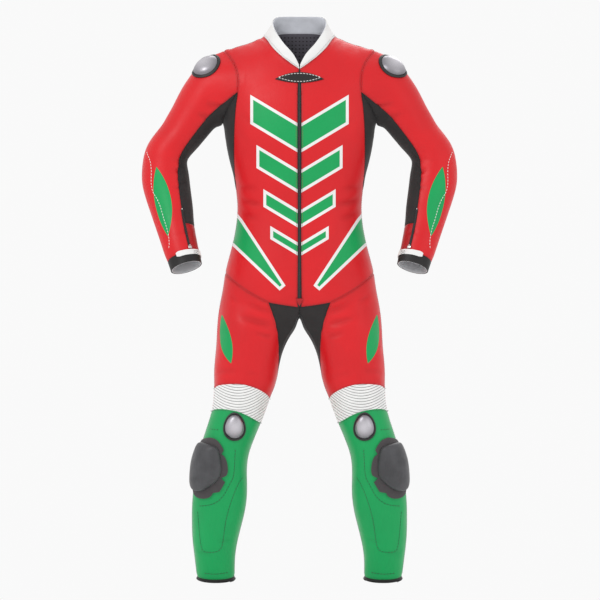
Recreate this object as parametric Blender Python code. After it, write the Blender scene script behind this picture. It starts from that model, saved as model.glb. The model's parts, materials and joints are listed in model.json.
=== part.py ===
"""Motorcycle race suit, filled out as it is worn, with nobody in it.

The front faces -Y, the wearer's left is +X and up is +Z. The origin is between the
shoulders at the base of the neck. All sizes below are millimetres; the meshes are metres.

The outer surface is worked out first, as one net of quads that the panels share: the
torso, two sleeves and two legs. Each panel is then a leather or stretch wall made from
its own share of that net, drawn in a little at its seams. Armour, patches and zips lie
on the panels: their points are cast onto the net and moved out.
"""

import math
from collections import namedtuple

import bpy
import numpy as np
from mathutils import Vector
from mathutils.bvhtree import BVHTree

MILLIMETRE = 0.001
LEATHER = 2.2  # wall of the leather panels
STRETCH = 1.8  # wall of the stretch panels
LINING = 1.2
SEAM_GAP = 0.3  # between two panels that are sewn together
CLEARANCE = 0.5  # under what lies on a panel
# From the smooth panel to the corners of the hard pieces, whose flats lie nearer to it.
CUP_LIFT = 1.4
KNEE_DOME_LIFT = 0.9
SLIDER_LIFT = 2.0
PUCK_LIFT = 1.7
ROUNDNESS = 2.2  # exponent of the torso and leg sections: 2 is an ellipse

ARMPIT_Z = -224.0
ARMHOLE_TIP_Z = -140.0  # where the side panel's front corner meets the sleeve
SIDE_PANEL_FOOT_Z = -400.0
ZIP_HALF_WIDTH = 5.0
ZIP_TOP_Z = -80.0
GROIN_CENTRE_Z = -701.0
GROIN_SIDE_Z = -609.0
HEM_Z = -1404.0
HEM_TILT = 12.0  # the hem's front hangs this much lower than its sides
HEM_HEIGHT = 7.0

COLLAR_WALL = 3.0
COLLAR_BULGE = 3.0
RIB_HEIGHT = 2.6
HEM_THICKNESS = 2.6
HEM_LIFT = 0.4
PATCH_THICKNESS = 1.4
STRAP_THICKNESS = 2.0
TEETH_HEIGHT = 1.2
ZIP_SLIDER_HEIGHT = 3.6
CUP_RADIUS = 41.0  # the shoulder cup with its rim
CUP_HEIGHT = 13.0
KNEE_DOME_HALF_WIDTH = 29.0
KNEE_DOME_HALF_HEIGHT = 37.0
KNEE_DOME_HEIGHT = 13.0
RIM_SHARE = 0.87  # where an armour dome ends inside its rim
RIM_HEIGHT = 4.5
SLIDER_BASE_THICKNESS = 3.2
PUCK_HEIGHT = 21.0
PUCK_EDGE = 0.42  # the height of the puck's upright edge, as a share of its own

# Columns and rows of the net.
NECK_COLUMNS = 4
SHOULDER_COLUMNS = 7
FRONT_COLUMNS = NECK_COLUMNS + SHOULDER_COLUMNS
CROTCH_COLUMNS = 3  # of the front columns, those that end on the crotch gusset
THIGH_COLUMNS = FRONT_COLUMNS - CROTCH_COLUMNS
TIP_ROWS = 3  # from the armpit's height to the side panel's corner
ARMHOLE_ROWS = 5  # from that corner to the shoulder seam
CHEST_ROWS = 4
HIP_ROWS = 6
UNDERARM_HALF = 3  # columns of half the stretch strip under the arm
SEAT_CURVE_ROWS = 5
GUSSET_ROWS = 6
ACCORDION_RIBS = 10
SHIN_ROWS = 9
FACING_FIRST_COLUMN = 2  # of the collar's columns: its ends have no facing
LINING_ROWS = 4  # of the back, behind the neck's opening
LINING_COLUMNS = 7
CUFF_LINING_ROWS = 1  # of the sleeve, above its cuff

Torso = namedtuple("Torso", "z half_width front back")
TORSO = [
    Torso(60, 205, -35, 50),
    Torso(20, 205, -47, 62),
    Torso(-24, 205, -64, 82),
    Torso(-53, 205, -77, 92),
    Torso(-80, 205, -89, 100),
    Torso(-120, 204, -105, 110),
    Torso(-180, 200, -121, 118),
    Torso(-224, 197, -127, 121),
    Torso(-291, 188, -127, 118),
    Torso(-354, 173, -119, 109),
    Torso(-416, 162, -108, 100),
    Torso(-478, 163, -109, 104),
    Torso(-541, 175, -114, 115),
    Torso(-603, 191, -118, 124),
    Torso(-666, 202, -114, 124),
    Torso(-701, 208, -100, 114),
    Torso(-740, 214, -80, 95),
]

Shoulder = namedtuple("Shoulder", "x front_top back_top ridge")
SHOULDER = [  # where the front and the back would close over the shoulder
    Shoulder(0, 30, 78, 22),
    Shoulder(60, 16, 46, 20),
    Shoulder(93, 6, 6, 18),
    Shoulder(116, -8, -8, 14),
    Shoulder(150, -19, -19, 9),
    Shoulder(197, -33, -33, 5),
    Shoulder(240, -50, -50, 5),
]
SHOULDER_ROLL = 70.0  # height over which the chest rolls back to the shoulder seam

Outline = namedtuple("Outline", "x z")
NECKLINE_FRONT = [
    Outline(1.5, -80),
    Outline(29, -68),
    Outline(54, -53),
    Outline(79, -24),
    Outline(93, 6),
]
NECKLINE_BACK = [Outline(93, 6), Outline(62, 10), Outline(30, 12), Outline(0, 12)]
ARMHOLE = [
    Outline(161, -140),
    Outline(153, -127),
    Outline(148, -110),
    Outline(149, -90),
    Outline(157, -71),
    Outline(174, -51),
    Outline(197, -33),
]
SIDE_PANEL_EDGE = [
    Outline(161, -140),
    Outline(166, -179),
    Outline(170, -224),
    Outline(166, -324),
    Outline(163, -370),
    Outline(166, -400),  # past the side, so the panel ends in a point
]
GROIN = [
    Outline(0, -701),
    Outline(40, -697),
    Outline(81, -686),
    Outline(142, -653),
    Outline(178, -622),
    Outline(193, -609),
]
SEAT_CURVE = [  # the middle of the crotch: x stands for y here
    Outline(-100, -701),
    Outline(-84, -714),
    Outline(-45, -726),
    Outline(8, -729),
    Outline(60, -726),
    Outline(98, -715),
    Outline(114, -701),
]

Sleeve = namedtuple("Sleeve", "inner_x inner_z outer_x outer_z y half_depth rows")
SLEEVE = [  # rows: net rows between this section and the one before it
    Sleeve(207, -229, 250, -60, 4, 67, 2),
    Sleeve(222, -236, 299, -120, 3, 63, 2),
    Sleeve(243, -260, 331, -180, 2, 60, 2),
    Sleeve(266, -287, 362, -232, 0, 58, 2),
    Sleeve(285, -308, 393, -274, -3, 57, 1),
    Sleeve(292, -326, 407, -320, -6, 57, 1),
    Sleeve(288, -352, 410, -362, -12, 57, 1),
    Sleeve(284, -385, 404, -402, -21, 55, 1),
    Sleeve(278, -432, 387, -455, -38, 51, 1),
    Sleeve(273, -490, 368, -511, -62, 46, 2),
    Sleeve(263, -545, 350, -565, -86, 40, 2),
    Sleeve(259, -560, 343, -582, -93, 38, 1),
    Sleeve(254, -585, 334, -608, -104, 35, 1),
]
UNDERARM_LAST = 9  # the section where the stretch strip under the arm ends
CUFF_FIRST = 11  # the section where the cuff band starts

# What is laid on the sleeve. A place counts sections: 0 is the armhole, 1 the first one.
Strip = namedtuple("Strip", "first_angle last_angle columns first_place last_place rows")
FOREARM_ZIP = Strip(56, 64, 2, 9.4, 11.1, 9)
FOREARM_ZIP_SLIDER = Strip(54, 66, 3, 11.14, 11.5, 2)
CUFF_STRAP = Strip(-58, 112, 17, 11.7, 12.35, 1)
STRAP_POINT = 0.35  # how far the corners of the strap's end are drawn together

Leg = namedtuple("Leg", "z inner outer front back")
LEG = [
    Leg(-580, 0, 187, -118, 123),
    Leg(-609, 0, 193, -118, 124),
    Leg(-650, 2, 199, -114, 124),
    Leg(-700, 6, 208, -101, 117),
    Leg(-740, 17, 213, -98, 108),
    Leg(-780, 34, 215, -97, 98),
    Leg(-811, 43, 217, -96, 88),
    Leg(-853, 53, 221, -95, 78),
    Leg(-894, 61, 222, -94, 70),
    Leg(-936, 77, 223, -94, 63),
    Leg(-978, 92, 230, -95, 57),
    Leg(-1019, 108, 243, -96, 52),
    Leg(-1061, 126, 256, -95, 49),
    Leg(-1102, 136, 266, -90, 48),
    Leg(-1144, 137, 272, -80, 52),
    Leg(-1186, 137, 277, -69, 60),
    Leg(-1227, 142, 279, -60, 70),
    Leg(-1269, 152, 279, -50, 78),
    Leg(-1310, 162, 277, -39, 80),
    Leg(-1352, 168, 272, -26, 79),
    Leg(-1430, 168, 262, -6, 74),
]
GUSSET_EDGE = [
    Outline(81, -686),
    Outline(62, -717),
    Outline(54, -744),
    Outline(53, -777),
    Outline(53, -814),
    Outline(56, -855),
    Outline(58.5, -880),
]
ACCORDION_TOP = [Outline(78, -939), Outline(110, -912), Outline(160, -894), Outline(200, -900), Outline(222, -912)]
ACCORDION_FOOT = [Outline(101, -999), Outline(130, -972), Outline(168, -958), Outline(205, -962), Outline(228, -970)]
KNEE_BACK_Z = -985.0  # the seam behind the knee
KNEE_BACK_DIP = 0.6  # how much of the way to that height the seam's middle goes

Place = namedtuple("Place", "x y z")
COLLAR_TOP = [  # from the zip round to the middle of the back
    Place(1.2, -87, -69),
    Place(9.5, -82, -49),
    Place(21, -75, -36),
    Place(39, -60, -15),
    Place(60, -30, 14),
    Place(72, 5, 38),
    Place(65, 34, 53),
    Place(36, 52, 57),
    Place(0, 57, 57),
]
THROAT_PATCH = {"half_width": 64.0, "tip_z": -106.6, "rise": 18.0, "fall": 10.0}
ZIP_TAB = {"half_width": 10.5, "top_z": -677.0, "foot_z": -697.0}

FORWARD = (0, -1, 0)
CUP_ANGLE = 152.0  # the shoulder cup's middle on the sleeve
CUP_PLACE = 1.0
CUP_FACING = (0.55, -0.62, 0.56)
DOME_MIDDLE = np.array([169.0, -100.0, -1010.0])
DOME_FACING = (-0.02, -1.0, 0.05)
SLIDER_MIDDLE = np.array([240.0, -80.0, -1115.0])
SLIDER_FACING = (0.6, -0.8, 0.0)
CAST_FROM = 120.0  # how far outside the panels a point starts when it is cast onto them

Spot = namedtuple("Spot", "across up")  # on a plane that faces the armour, from its middle
SLIDER_BASE = [  # across: towards the other leg
    Spot(-5, 74),
    Spot(12, 75),
    Spot(31, 66),
    Spot(43, 44),
    Spot(37, 33),
    Spot(45, 22),
    Spot(45, -6),
    Spot(40, -22),
    Spot(28, -29),
    Spot(35, -39),
    Spot(20, -64),
    Spot(5, -67),
    Spot(-2, -77),
    Spot(-20, -82),
    Spot(-43, -77),
    Spot(-58, -58),
    Spot(-64, -20),
    Spot(-63, 20),
    Spot(-52, 54),
    Spot(-30, 69),
]
SLIDER_PUCK = [
    Spot(-38, 57),
    Spot(-22, 62),
    Spot(2, 59),
    Spot(24, 53),
    Spot(33, 42),
    Spot(35, 14),
    Spot(28, -23),
    Spot(6, -47),
    Spot(-17, -60),
    Spot(-42, -60),
    Spot(-59, -44),
    Spot(-65, -14),
    Spot(-63, 18),
    Spot(-52, 42),
]

# ------------------------------------------------------------------ curves and sections


def smooth(table, key, value, at):
    """A column of a table at a place between its rows, by a Catmull-Rom curve."""
    rows = sorted(table, key=lambda row: getattr(row, key))
    x = np.array([getattr(row, key) for row in rows], float)
    y = np.array([getattr(row, value) for row in rows], float)
    at = min(max(at, x[0]), x[-1])
    i = min(int(np.searchsorted(x, at, side="right")) - 1, len(x) - 2)
    slopes = np.gradient(y, x)
    span = x[i + 1] - x[i]
    t = (at - x[i]) / span
    return (
        (2 * t**3 - 3 * t**2 + 1) * y[i]
        + (t**3 - 2 * t**2 + t) * span * slopes[i]
        + (3 * t**2 - 2 * t**3) * y[i + 1]
        + (t**3 - t**2) * span * slopes[i + 1]
    )


def spread(points, pieces):
    """Points spaced evenly along a smooth curve through the given ones."""
    given = np.array(points, float)
    knots = np.concatenate([[0], np.cumsum(np.linalg.norm(np.diff(given, axis=0), axis=1))])
    slopes = np.gradient(given, knots, axis=0)
    dense = []
    for i in range(len(given) - 1):
        span = knots[i + 1] - knots[i]
        for t in np.linspace(0, 1, 24, endpoint=False):
            dense.append(
                (2 * t**3 - 3 * t**2 + 1) * given[i]
                + (t**3 - 2 * t**2 + t) * span * slopes[i]
                + (3 * t**2 - 2 * t**3) * given[i + 1]
                + (t**3 - t**2) * span * slopes[i + 1]
            )
    dense = np.array(dense + [given[-1]])
    lengths = np.concatenate([[0], np.cumsum(np.linalg.norm(np.diff(dense, axis=0), axis=1))])
    places = np.linspace(0, lengths[-1], pieces + 1)
    return np.stack([np.interp(places, lengths, dense[:, k]) for k in range(dense.shape[1])], axis=1)


def height_at(outline, x):
    """The height of an outline that is given from left to right, at one x."""
    return float(np.interp(x, [p.x for p in outline], [p.z for p in outline]))


def section_half(share):
    """How far a section still reaches sideways of a point at this share of its width."""
    return max(0.0, 1 - min(1.0, abs(share)) ** ROUNDNESS) ** (1 / ROUNDNESS)


def torso_at_angle(angle, z):
    """A point of the torso below the armpits: 0 is the front, 90 the wearer's left side."""
    side, ahead = math.sin(math.radians(angle)), math.cos(math.radians(angle))
    x = smooth(TORSO, "z", "half_width", z) * math.copysign(abs(side) ** (2 / ROUNDNESS), side)
    depth = smooth(TORSO, "z", "front" if ahead > 0 else "back", z)
    return np.array([x, depth * abs(ahead) ** (2 / ROUNDNESS), z])


def angle_at_x(x, z):
    """The angle at which the torso's front is this far from the middle."""
    share = min(1.0, x / smooth(TORSO, "z", "half_width", z))
    return math.degrees(math.asin(share ** (ROUNDNESS / 2)))


def shoulder_top(x, face):
    """The height at which the front or the back has rolled over to the shoulder's ridge."""
    return float(np.interp(x, [p.x for p in SHOULDER], [getattr(p, f"{face}_top") for p in SHOULDER]))


def shoulder_seam():
    """The seam between the front and the back, from the neck out to the armhole."""
    across = np.linspace(NECKLINE_FRONT[-1].x, ARMHOLE[-1].x, SHOULDER_COLUMNS + 1)
    return np.array([[x, shoulder_top(x, "front")] for x in across])


def torso_over(x, z, face):
    """A point of the chest or the upper back, which roll over to the shoulder seam."""
    depth = smooth(TORSO, "z", face, z) * section_half(x / smooth(TORSO, "z", "half_width", z))
    ridge = smooth(SHOULDER, "x", "ridge", abs(x))
    top = shoulder_top(x, face)
    rise = min(1.0, max(0.0, (top - z) / SHOULDER_ROLL))
    return np.array([x, ridge + (depth - ridge) * math.sqrt(1 - (1 - rise) ** 2), z])


def coons(bottom, top, inner, outer):
    """A net between four outlines, each a list of (x, z)."""
    rows, columns = len(inner), len(bottom)
    net = np.zeros((rows, columns, 2))
    for i in range(rows):
        t = i / (rows - 1)
        for j in range(columns):
            s = j / (columns - 1)
            corners = (
                (1 - s) * (1 - t) * bottom[0]
                + s * (1 - t) * bottom[-1]
                + (1 - s) * t * top[0]
                + s * t * top[-1]
            )
            net[i, j] = (1 - t) * bottom[j] + t * top[j] + (1 - s) * inner[i] + s * outer[i] - corners
    return net


# ------------------------------------------------------------------ the torso's net


def zip_edge(z):
    """Half the width of the opening that the main zip closes."""
    return float(np.interp(z, [-116, ZIP_TOP_Z], [ZIP_HALF_WIDTH, NECKLINE_FRONT[0].x]))


def outer_edge_rows():
    """The edge that the front and the back share with the side panel and the sleeve, upwards."""
    side = spread([p for p in reversed(SIDE_PANEL_EDGE) if p.z <= ARMPIT_Z], CHEST_ROWS)
    tip = spread([p for p in reversed(SIDE_PANEL_EDGE) if p.z >= ARMPIT_Z], TIP_ROWS)
    return side, tip, spread(ARMHOLE, ARMHOLE_ROWS)


def chest_net(face):
    """The net above the armpits for half the front or half the back, from bottom to top."""
    side, tip, armhole = outer_edge_rows()
    outer = np.concatenate([tip, armhole[1:]])
    neckline = NECKLINE_FRONT if face == "front" else NECKLINE_BACK[::-1]
    top = np.concatenate([spread(neckline, NECK_COLUMNS), shoulder_seam()[1:]])
    first = zip_edge(ARMPIT_Z) if face == "front" else 0.0
    angles = np.linspace(angle_at_x(first, ARMPIT_Z), angle_at_x(outer[0][0], ARMPIT_Z), FRONT_COLUMNS + 1)
    bottom = np.array([[torso_at_angle(angle, ARMPIT_Z)[0], ARMPIT_Z] for angle in angles])
    heights = np.linspace(ARMPIT_Z, top[0][1], len(outer))
    inner = np.array([[zip_edge(z) if face == "front" else 0.0, z] for z in heights])
    net = coons(bottom, top, inner, outer)
    return np.array([[torso_over(x, z, face) for x, z in row] for row in net])


def hip_angles(row_share, z, face):
    """The columns' angles in a row of the lower torso: even above, pinned to the gusset below."""
    first = angle_at_x(zip_edge(z), z) if face == "front" else 0.0
    even = np.linspace(first, 90, FRONT_COLUMNS + 1)
    corner = angle_at_x(GUSSET_EDGE[0].x, GUSSET_EDGE[0].z)
    pinned = np.concatenate(
        [np.linspace(first, corner, CROTCH_COLUMNS + 1), np.linspace(corner, 90, THIGH_COLUMNS + 1)[1:]]
    )
    return even + (pinned - even) * row_share


def lower_net(face):
    """The net from the armpits down to the groin for half the front or half the back."""
    side, tip, armhole = outer_edge_rows()
    turn = (lambda angle: angle) if face == "front" else (lambda angle: 180 - angle)
    rows = []
    for x, z in side[::-1]:
        first = angle_at_x(zip_edge(z), z) if face == "front" else 0.0
        angles = np.linspace(first, angle_at_x(x, z), FRONT_COLUMNS + 1)
        rows.append([torso_at_angle(turn(angle), z) for angle in angles])
    for i in range(1, HIP_ROWS + 1):
        share = i / HIP_ROWS
        row = []
        for angle in hip_angles(share, GROIN_CENTRE_Z, face):
            x = torso_at_angle(angle, GROIN_SIDE_Z)[0]
            z = SIDE_PANEL_FOOT_Z + (height_at(GROIN, x) - SIDE_PANEL_FOOT_Z) * share
            row.append(torso_at_angle(turn(angle), z))
        rows.append(row)
    return np.array(rows)


def half_torso(face):
    """Half of the front or of the back, from the shoulder seam down to the groin."""
    return np.concatenate([chest_net(face)[::-1], lower_net(face)[1:]])


def side_panel_net():
    """The stretch panel under the arm, from its foot at the waist up to the armhole."""
    side, tip, armhole = outer_edge_rows()
    edge = np.concatenate([side, tip[1:]])
    front = half_torso("front")[ARMHOLE_ROWS : ARMHOLE_ROWS + len(edge), -1][::-1]
    back = half_torso("back")[ARMHOLE_ROWS : ARMHOLE_ROWS + len(edge), -1][::-1]
    rows = []
    for i, (x, z_edge) in enumerate(edge):
        share = (z_edge - SIDE_PANEL_FOOT_Z) / (ARMHOLE_TIP_Z - SIDE_PANEL_FOOT_Z)
        start = angle_at_x(x, z_edge)
        row = [front[i]]
        for j in range(1, 2 * UNDERARM_HALF):
            across = j / (2 * UNDERARM_HALF)
            top = ARMPIT_Z + (ARMHOLE_TIP_Z - ARMPIT_Z) * abs(2 * across - 1) ** 1.6
            z = SIDE_PANEL_FOOT_Z + (top - SIDE_PANEL_FOOT_Z) * share
            row.append(torso_at_angle(start + (180 - 2 * start) * across, z))
        rows.append(row + [back[i]])
    return np.array(rows)


# ------------------------------------------------------------------ the sleeve's net


def sleeve_angles():
    """Angles round the sleeve: 0 is under the arm, 90 its front, 180 its outer side."""
    strip = np.linspace(0, 60, UNDERARM_HALF + 1)
    rest = np.linspace(60, 180, ARMHOLE_ROWS + 1)[1:]
    half = np.concatenate([strip, rest])
    return np.concatenate([half, (360 - half[1:-1])[::-1]])


def armhole_loop():
    """The armhole's points in the order of sleeve_angles."""
    under = side_panel_net()[-1]
    front = half_torso("front")[: ARMHOLE_ROWS + 1, -1][::-1]
    back = half_torso("back")[: ARMHOLE_ROWS + 1, -1]
    return np.concatenate([under[UNDERARM_HALF::-1], front[1:], back[1:], under[-2:UNDERARM_HALF:-1]])


def sleeve_sections(angles):
    """The rings that the sleeve runs through, the armhole first, at the given angles."""
    middles = [np.array([(s.inner_x + s.outer_x) / 2, s.y, (s.inner_z + s.outer_z) / 2]) for s in SLEEVE]
    loop, given = armhole_loop(), sleeve_angles()
    rings = [np.stack([np.interp(np.mod(angles, 360), given, loop[:, k], period=360) for k in range(3)], axis=1)]
    for i, s in enumerate(SLEEVE):
        along = middles[min(i + 1, len(SLEEVE) - 1)] - middles[max(i - 1, 0)]
        across = np.array([s.outer_x - s.inner_x, 0.0, s.outer_z - s.inner_z]) / 2
        ahead = np.cross(along, across)
        ahead *= s.half_depth / np.linalg.norm(ahead)
        ring = []
        for angle in np.radians(angles):
            ring.append(middles[i] - across * math.cos(angle) + ahead * math.sin(angle))
        rings.append(np.array(ring))
    return rings


def between(rings, i, t):
    """The ring at t between rings i and i + 1, on Catmull-Rom curves through all rings."""
    before = rings[max(i - 1, 0)]
    after = rings[min(i + 2, len(rings) - 1)]
    start, end = rings[i], rings[i + 1]
    leave = (end - before) / (2 if i > 0 else 1)
    arrive = (after - start) / (2 if i + 2 < len(rings) else 1)
    return (
        (2 * t**3 - 3 * t**2 + 1) * start
        + (t**3 - 2 * t**2 + t) * leave
        + (3 * t**2 - 2 * t**3) * end
        + (t**3 - t**2) * arrive
    )


def sleeve_rows(angles, places):
    """Rows of the sleeve at places along it, where 0 is the armhole and 1 the first section."""
    rings = sleeve_sections(angles)
    rows = []
    for place in places:
        i = min(int(place), len(rings) - 2)
        rows.append(between(rings, i, place - i))
    return np.array(rows)


def sleeve_net():
    """All rows of the sleeve, and the row at which each section lies."""
    rings = sleeve_sections(sleeve_angles())
    rows, at_section = [rings[0]], [0]
    for i, section in enumerate(SLEEVE):
        for k in range(1, section.rows + 1):
            rows.append(between(rings, i, k / section.rows))
        at_section.append(len(rows) - 1)
    return np.array(rows), at_section


# ------------------------------------------------------------------ the leg's net


def leg_at(angle, z):
    """A point of the leg: 0 is its inner side, 90 its front, 180 its outer side."""
    inner, outer = smooth(LEG, "z", "inner", z), smooth(LEG, "z", "outer", z)
    front, back = smooth(LEG, "z", "front", z), smooth(LEG, "z", "back", z)
    across, ahead = math.cos(math.radians(angle)), math.sin(math.radians(angle))
    x = (inner + outer) / 2 - (outer - inner) / 2 * math.copysign(abs(across) ** (2 / ROUNDNESS), across)
    y = (front + back) / 2 - (back - front) / 2 * math.copysign(abs(ahead) ** (2 / ROUNDNESS), ahead)
    return np.array([x, y, z])


def leg_angle_at_x(x, z):
    """The angle at which the leg's front is at this x."""
    inner, outer = smooth(LEG, "z", "inner", z), smooth(LEG, "z", "outer", z)
    share = (inner + outer - 2 * x) / (outer - inner)
    share = min(1.0, max(-1.0, share))
    return math.degrees(math.acos(math.copysign(abs(share) ** (ROUNDNESS / 2), share)))


def gusset_edge_rows():
    """Heights of the gusset's side edge, and the leg's angle there."""
    heights = np.linspace(GUSSET_EDGE[0].z, GUSSET_EDGE[-1].z, GUSSET_ROWS + 1)
    table = GUSSET_EDGE[::-1]
    xs = [float(np.interp(z, [p.z for p in table], [p.x for p in table])) for z in heights]
    angles = [leg_angle_at_x(x, z) for x, z in zip(xs, heights)]
    angles[-1] = 0.0
    return heights, angles


def leg_columns(tops, bottoms, first_angles, last_angles, shares):
    """Rows of a leg panel whose top row is given and whose columns settle onto the leg."""
    count = len(tops)
    rows = [list(tops)]
    for k in range(1, len(shares)):
        settled = min(1.0, shares[k] / shares[min(4, len(shares) - 1)])
        settled = settled * settled * (3 - 2 * settled)
        row = []
        for j in range(count):
            s = j / (count - 1)
            top_angle = first_angles[0] + (last_angles[0] - first_angles[0]) * s
            angle = first_angles[k] + (last_angles[k] - first_angles[k]) * s
            z = tops[j][2] + (bottoms[j] - tops[j][2]) * shares[k]
            offset = tops[j] - leg_at(top_angle, tops[j][2])
            row.append(leg_at(angle, z) + offset * (1 - settled))
        rows.append(row)
    return np.array(rows)


def thigh_nets():
    """The thigh's front and back, and the half of the gusset that runs down beside them."""
    front_row = half_torso("front")[-1]
    back_row = half_torso("back")[-1]
    edge_z, edge_angle = gusset_edge_rows()
    knee_z = ACCORDION_TOP[0].z
    z_rows = np.concatenate([edge_z, np.linspace(edge_z[-1], knee_z, 3)[1:]])
    shares = (z_rows - z_rows[0]) / (z_rows[-1] - z_rows[0])
    angles = edge_angle + [0.0, 0.0]
    across = np.linspace(0, 180, THIGH_COLUMNS + 1)
    tops = front_row[CROTCH_COLUMNS:]
    feet = [height_at(ACCORDION_TOP, leg_at(a, knee_z)[0]) for a in across]
    front = leg_columns(tops, feet, angles, [180.0] * len(angles), shares)
    back_tops = back_row[CROTCH_COLUMNS:]
    back_feet = [feet[0] + (feet[-1] - feet[0]) * a / 180 for a in across]
    mirrored = leg_columns(back_tops, back_feet, [-a for a in angles], [-180.0] * len(angles), shares)
    back = mirrored[:, ::-1]
    front[:, -1] = back[:, 0]
    seam = spread(SEAT_CURVE, SEAT_CURVE_ROWS)
    seat = np.array([[0.0, y, z] for y, z in seam])
    seat[0] = front_row[0] * np.array([0, 1, 1])
    seat[-1] = back_row[0]
    gusset_tops = np.concatenate([front_row[CROTCH_COLUMNS::-1], seat, back_row[1 : CROTCH_COLUMNS + 1]])
    gusset = leg_columns(
        gusset_tops,
        [edge_z[-1]] * len(gusset_tops),
        edge_angle,
        [-a for a in edge_angle],
        (edge_z - edge_z[0]) / (edge_z[-1] - edge_z[0]),
    )
    gusset[:, 0] = front[: GUSSET_ROWS + 1, 0]
    gusset[:, -1] = back[: GUSSET_ROWS + 1, -1]
    return front, back, gusset


def accordion_net(thigh_front):
    """The ribbed stretch panel over the knee, two rows for each rib."""
    rows = []
    for k in range(2 * ACCORDION_RIBS + 1):
        share = k / (2 * ACCORDION_RIBS)
        row = []
        for j, angle in enumerate(np.linspace(0, 180, THIGH_COLUMNS + 1)):
            top = thigh_front[-1, j][2]
            foot = height_at(ACCORDION_FOOT, leg_at(angle, ACCORDION_FOOT[2].z)[0])
            row.append(leg_at(angle, top + (foot - top) * share))
        rows.append(row)
    net = np.array(rows)
    net[0] = thigh_front[-1]
    return net


def hem_height(angle):
    """The height of the hem's lower edge, which hangs lower in front."""
    return HEM_Z - HEM_TILT * math.sin(math.radians(angle))


def lower_leg_nets(accordion, thigh_back):
    """The lower leg's front and back, the thigh's back down to the knee, and the hem."""
    across = np.linspace(0, 180, THIGH_COLUMNS + 1)
    outer_z, inner_z = accordion[-1, -1][2], accordion[-1, 0][2]
    seam = []
    for angle in across:
        level = outer_z + (inner_z - outer_z) * angle / 180
        seam.append(level + (KNEE_BACK_Z - level) * math.sin(math.radians(angle)) * KNEE_BACK_DIP)

    def down(angles, start, end, share):
        """A row at this share of the way down from the start heights to the end heights."""
        return [leg_at(a, start[j] + (end[j] - start[j]) * share) for j, a in enumerate(angles)]

    behind = [down(180 + across, thigh_back[-1, :, 2], seam, share) for share in (0.5, 1.0)]
    thigh_back = np.concatenate([thigh_back, np.array(behind)])
    front_end = [hem_height(a) + HEM_HEIGHT for a in across]
    back_end = [hem_height(180 + a) + HEM_HEIGHT for a in across]
    front, back = [accordion[-1]], [thigh_back[-1]]
    for share in np.linspace(0, 1, SHIN_ROWS + 1)[1:]:
        front.append(down(across, accordion[-1, :, 2], front_end, share))
        back.append(down(180 + across, seam, back_end, share))
    round_leg = np.concatenate([across, 180 + across[1:]])
    hem = [[leg_at(a, hem_height(a) + rise) for a in round_leg] for rise in (HEM_HEIGHT, 0.0)]
    return np.array(front), np.array(back), thigh_back, np.array(hem)


# ------------------------------------------------------------------ walls from nets


def key(point):
    return tuple(np.round(np.asarray(point, float), 2))


def quads(net):
    """The faces of a net whose rows run down and whose columns run to the wearer's left."""
    faces = []
    for upper, lower in zip(net[:-1], net[1:]):
        for j in range(len(upper) - 1):
            faces.append([upper[j], lower[j], lower[j + 1], upper[j + 1]])
    return faces


def mirrored(faces):
    return [[point * np.array([-1, 1, 1]) for point in reversed(face)] for face in faces]


def clean(faces):
    """The faces without repeated corners, and without those that then have no area."""
    kept = []
    for face in faces:
        corners = []
        for point in face:
            if not corners or (key(point) != key(corners[-1])):
                corners.append(point)
        if key(corners[0]) == key(corners[-1]):
            corners.pop()
        if len(corners) > 2:
            kept.append(corners)
    return kept


def area_normal(face):
    centre = sum(face) / len(face)
    total = np.zeros(3)
    for a, b in zip(face, face[1:] + face[:1]):
        total += np.cross(a - centre, b - centre)
    return total / 2


def normals_of(faces):
    """The outward direction at each corner, over all faces that meet there."""
    total = {}
    for face in faces:
        normal = area_normal(face)
        for point in face:
            total[key(point)] = total.get(key(point), np.zeros(3)) + normal
    return {k: v / max(np.linalg.norm(v), 1e-9) for k, v in total.items()}


def drawn_in(faces, distance):
    """Where each corner goes when the faces' free edges are drawn in by a distance."""
    edges = {}
    for face in faces:
        normal = area_normal(face)
        normal /= max(np.linalg.norm(normal), 1e-9)
        for a, b in zip(face, face[1:] + face[:1]):
            edges.setdefault(frozenset((key(a), key(b))), []).append((a, b, normal))
    pulls = {}
    for users in edges.values():
        if len(users) == 1:
            a, b, normal = users[0]
            pull = np.cross(normal, b - a)
            pull /= max(np.linalg.norm(pull), 1e-9)
            for point in (a, b):
                pulls.setdefault(key(point), []).append(pull)
    moved = {}
    for k, found in pulls.items():
        total = sum(found)
        share = max(0.35, np.dot(total, total) / len(found))
        moved[k] = total / share * distance
    return moved


def triangles_of(face):
    """A face's corners by number, split along its shorter diagonal."""
    if len(face) == 3:
        return [(0, 1, 2)]
    if np.linalg.norm(face[0] - face[2]) <= np.linalg.norm(face[1] - face[3]):
        return [(0, 1, 2), (0, 2, 3)]
    return [(0, 1, 3), (1, 2, 3)]


def closed(name, faces, outer_of, inner_of, material):
    """A closed piece between two copies of the faces, whose points two functions move."""
    places, index = [], {}
    for face in faces:
        for point in face:
            if key(point) not in index:
                index[key(point)] = len(places)
                places.append(point)
    count = len(places)
    outer = [outer_of(point) for point in places]
    inner = [inner_of(point) for point in places]
    solid, uses = [], {}
    for face in faces:
        ids = [index[key(point)] for point in face]
        for part in triangles_of(face):  # split alike in every wall that has these faces
            solid.append([ids[i] for i in part])
            solid.append([count + ids[i] for i in reversed(part)])
        for a, b in zip(ids, ids[1:] + ids[:1]):
            uses.setdefault(frozenset((a, b)), []).append((a, b))
    for users in uses.values():
        if len(users) == 1:
            a, b = users[0]
            if key(places[a]) < key(places[b]):  # both walls of a seam split their rims alike
                solid += [[b, a, count + b], [a, count + a, count + b]]
            else:
                solid += [[b, a, count + a], [b, count + a, count + b]]
    return make_object(name, outer + inner, solid, material)


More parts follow.
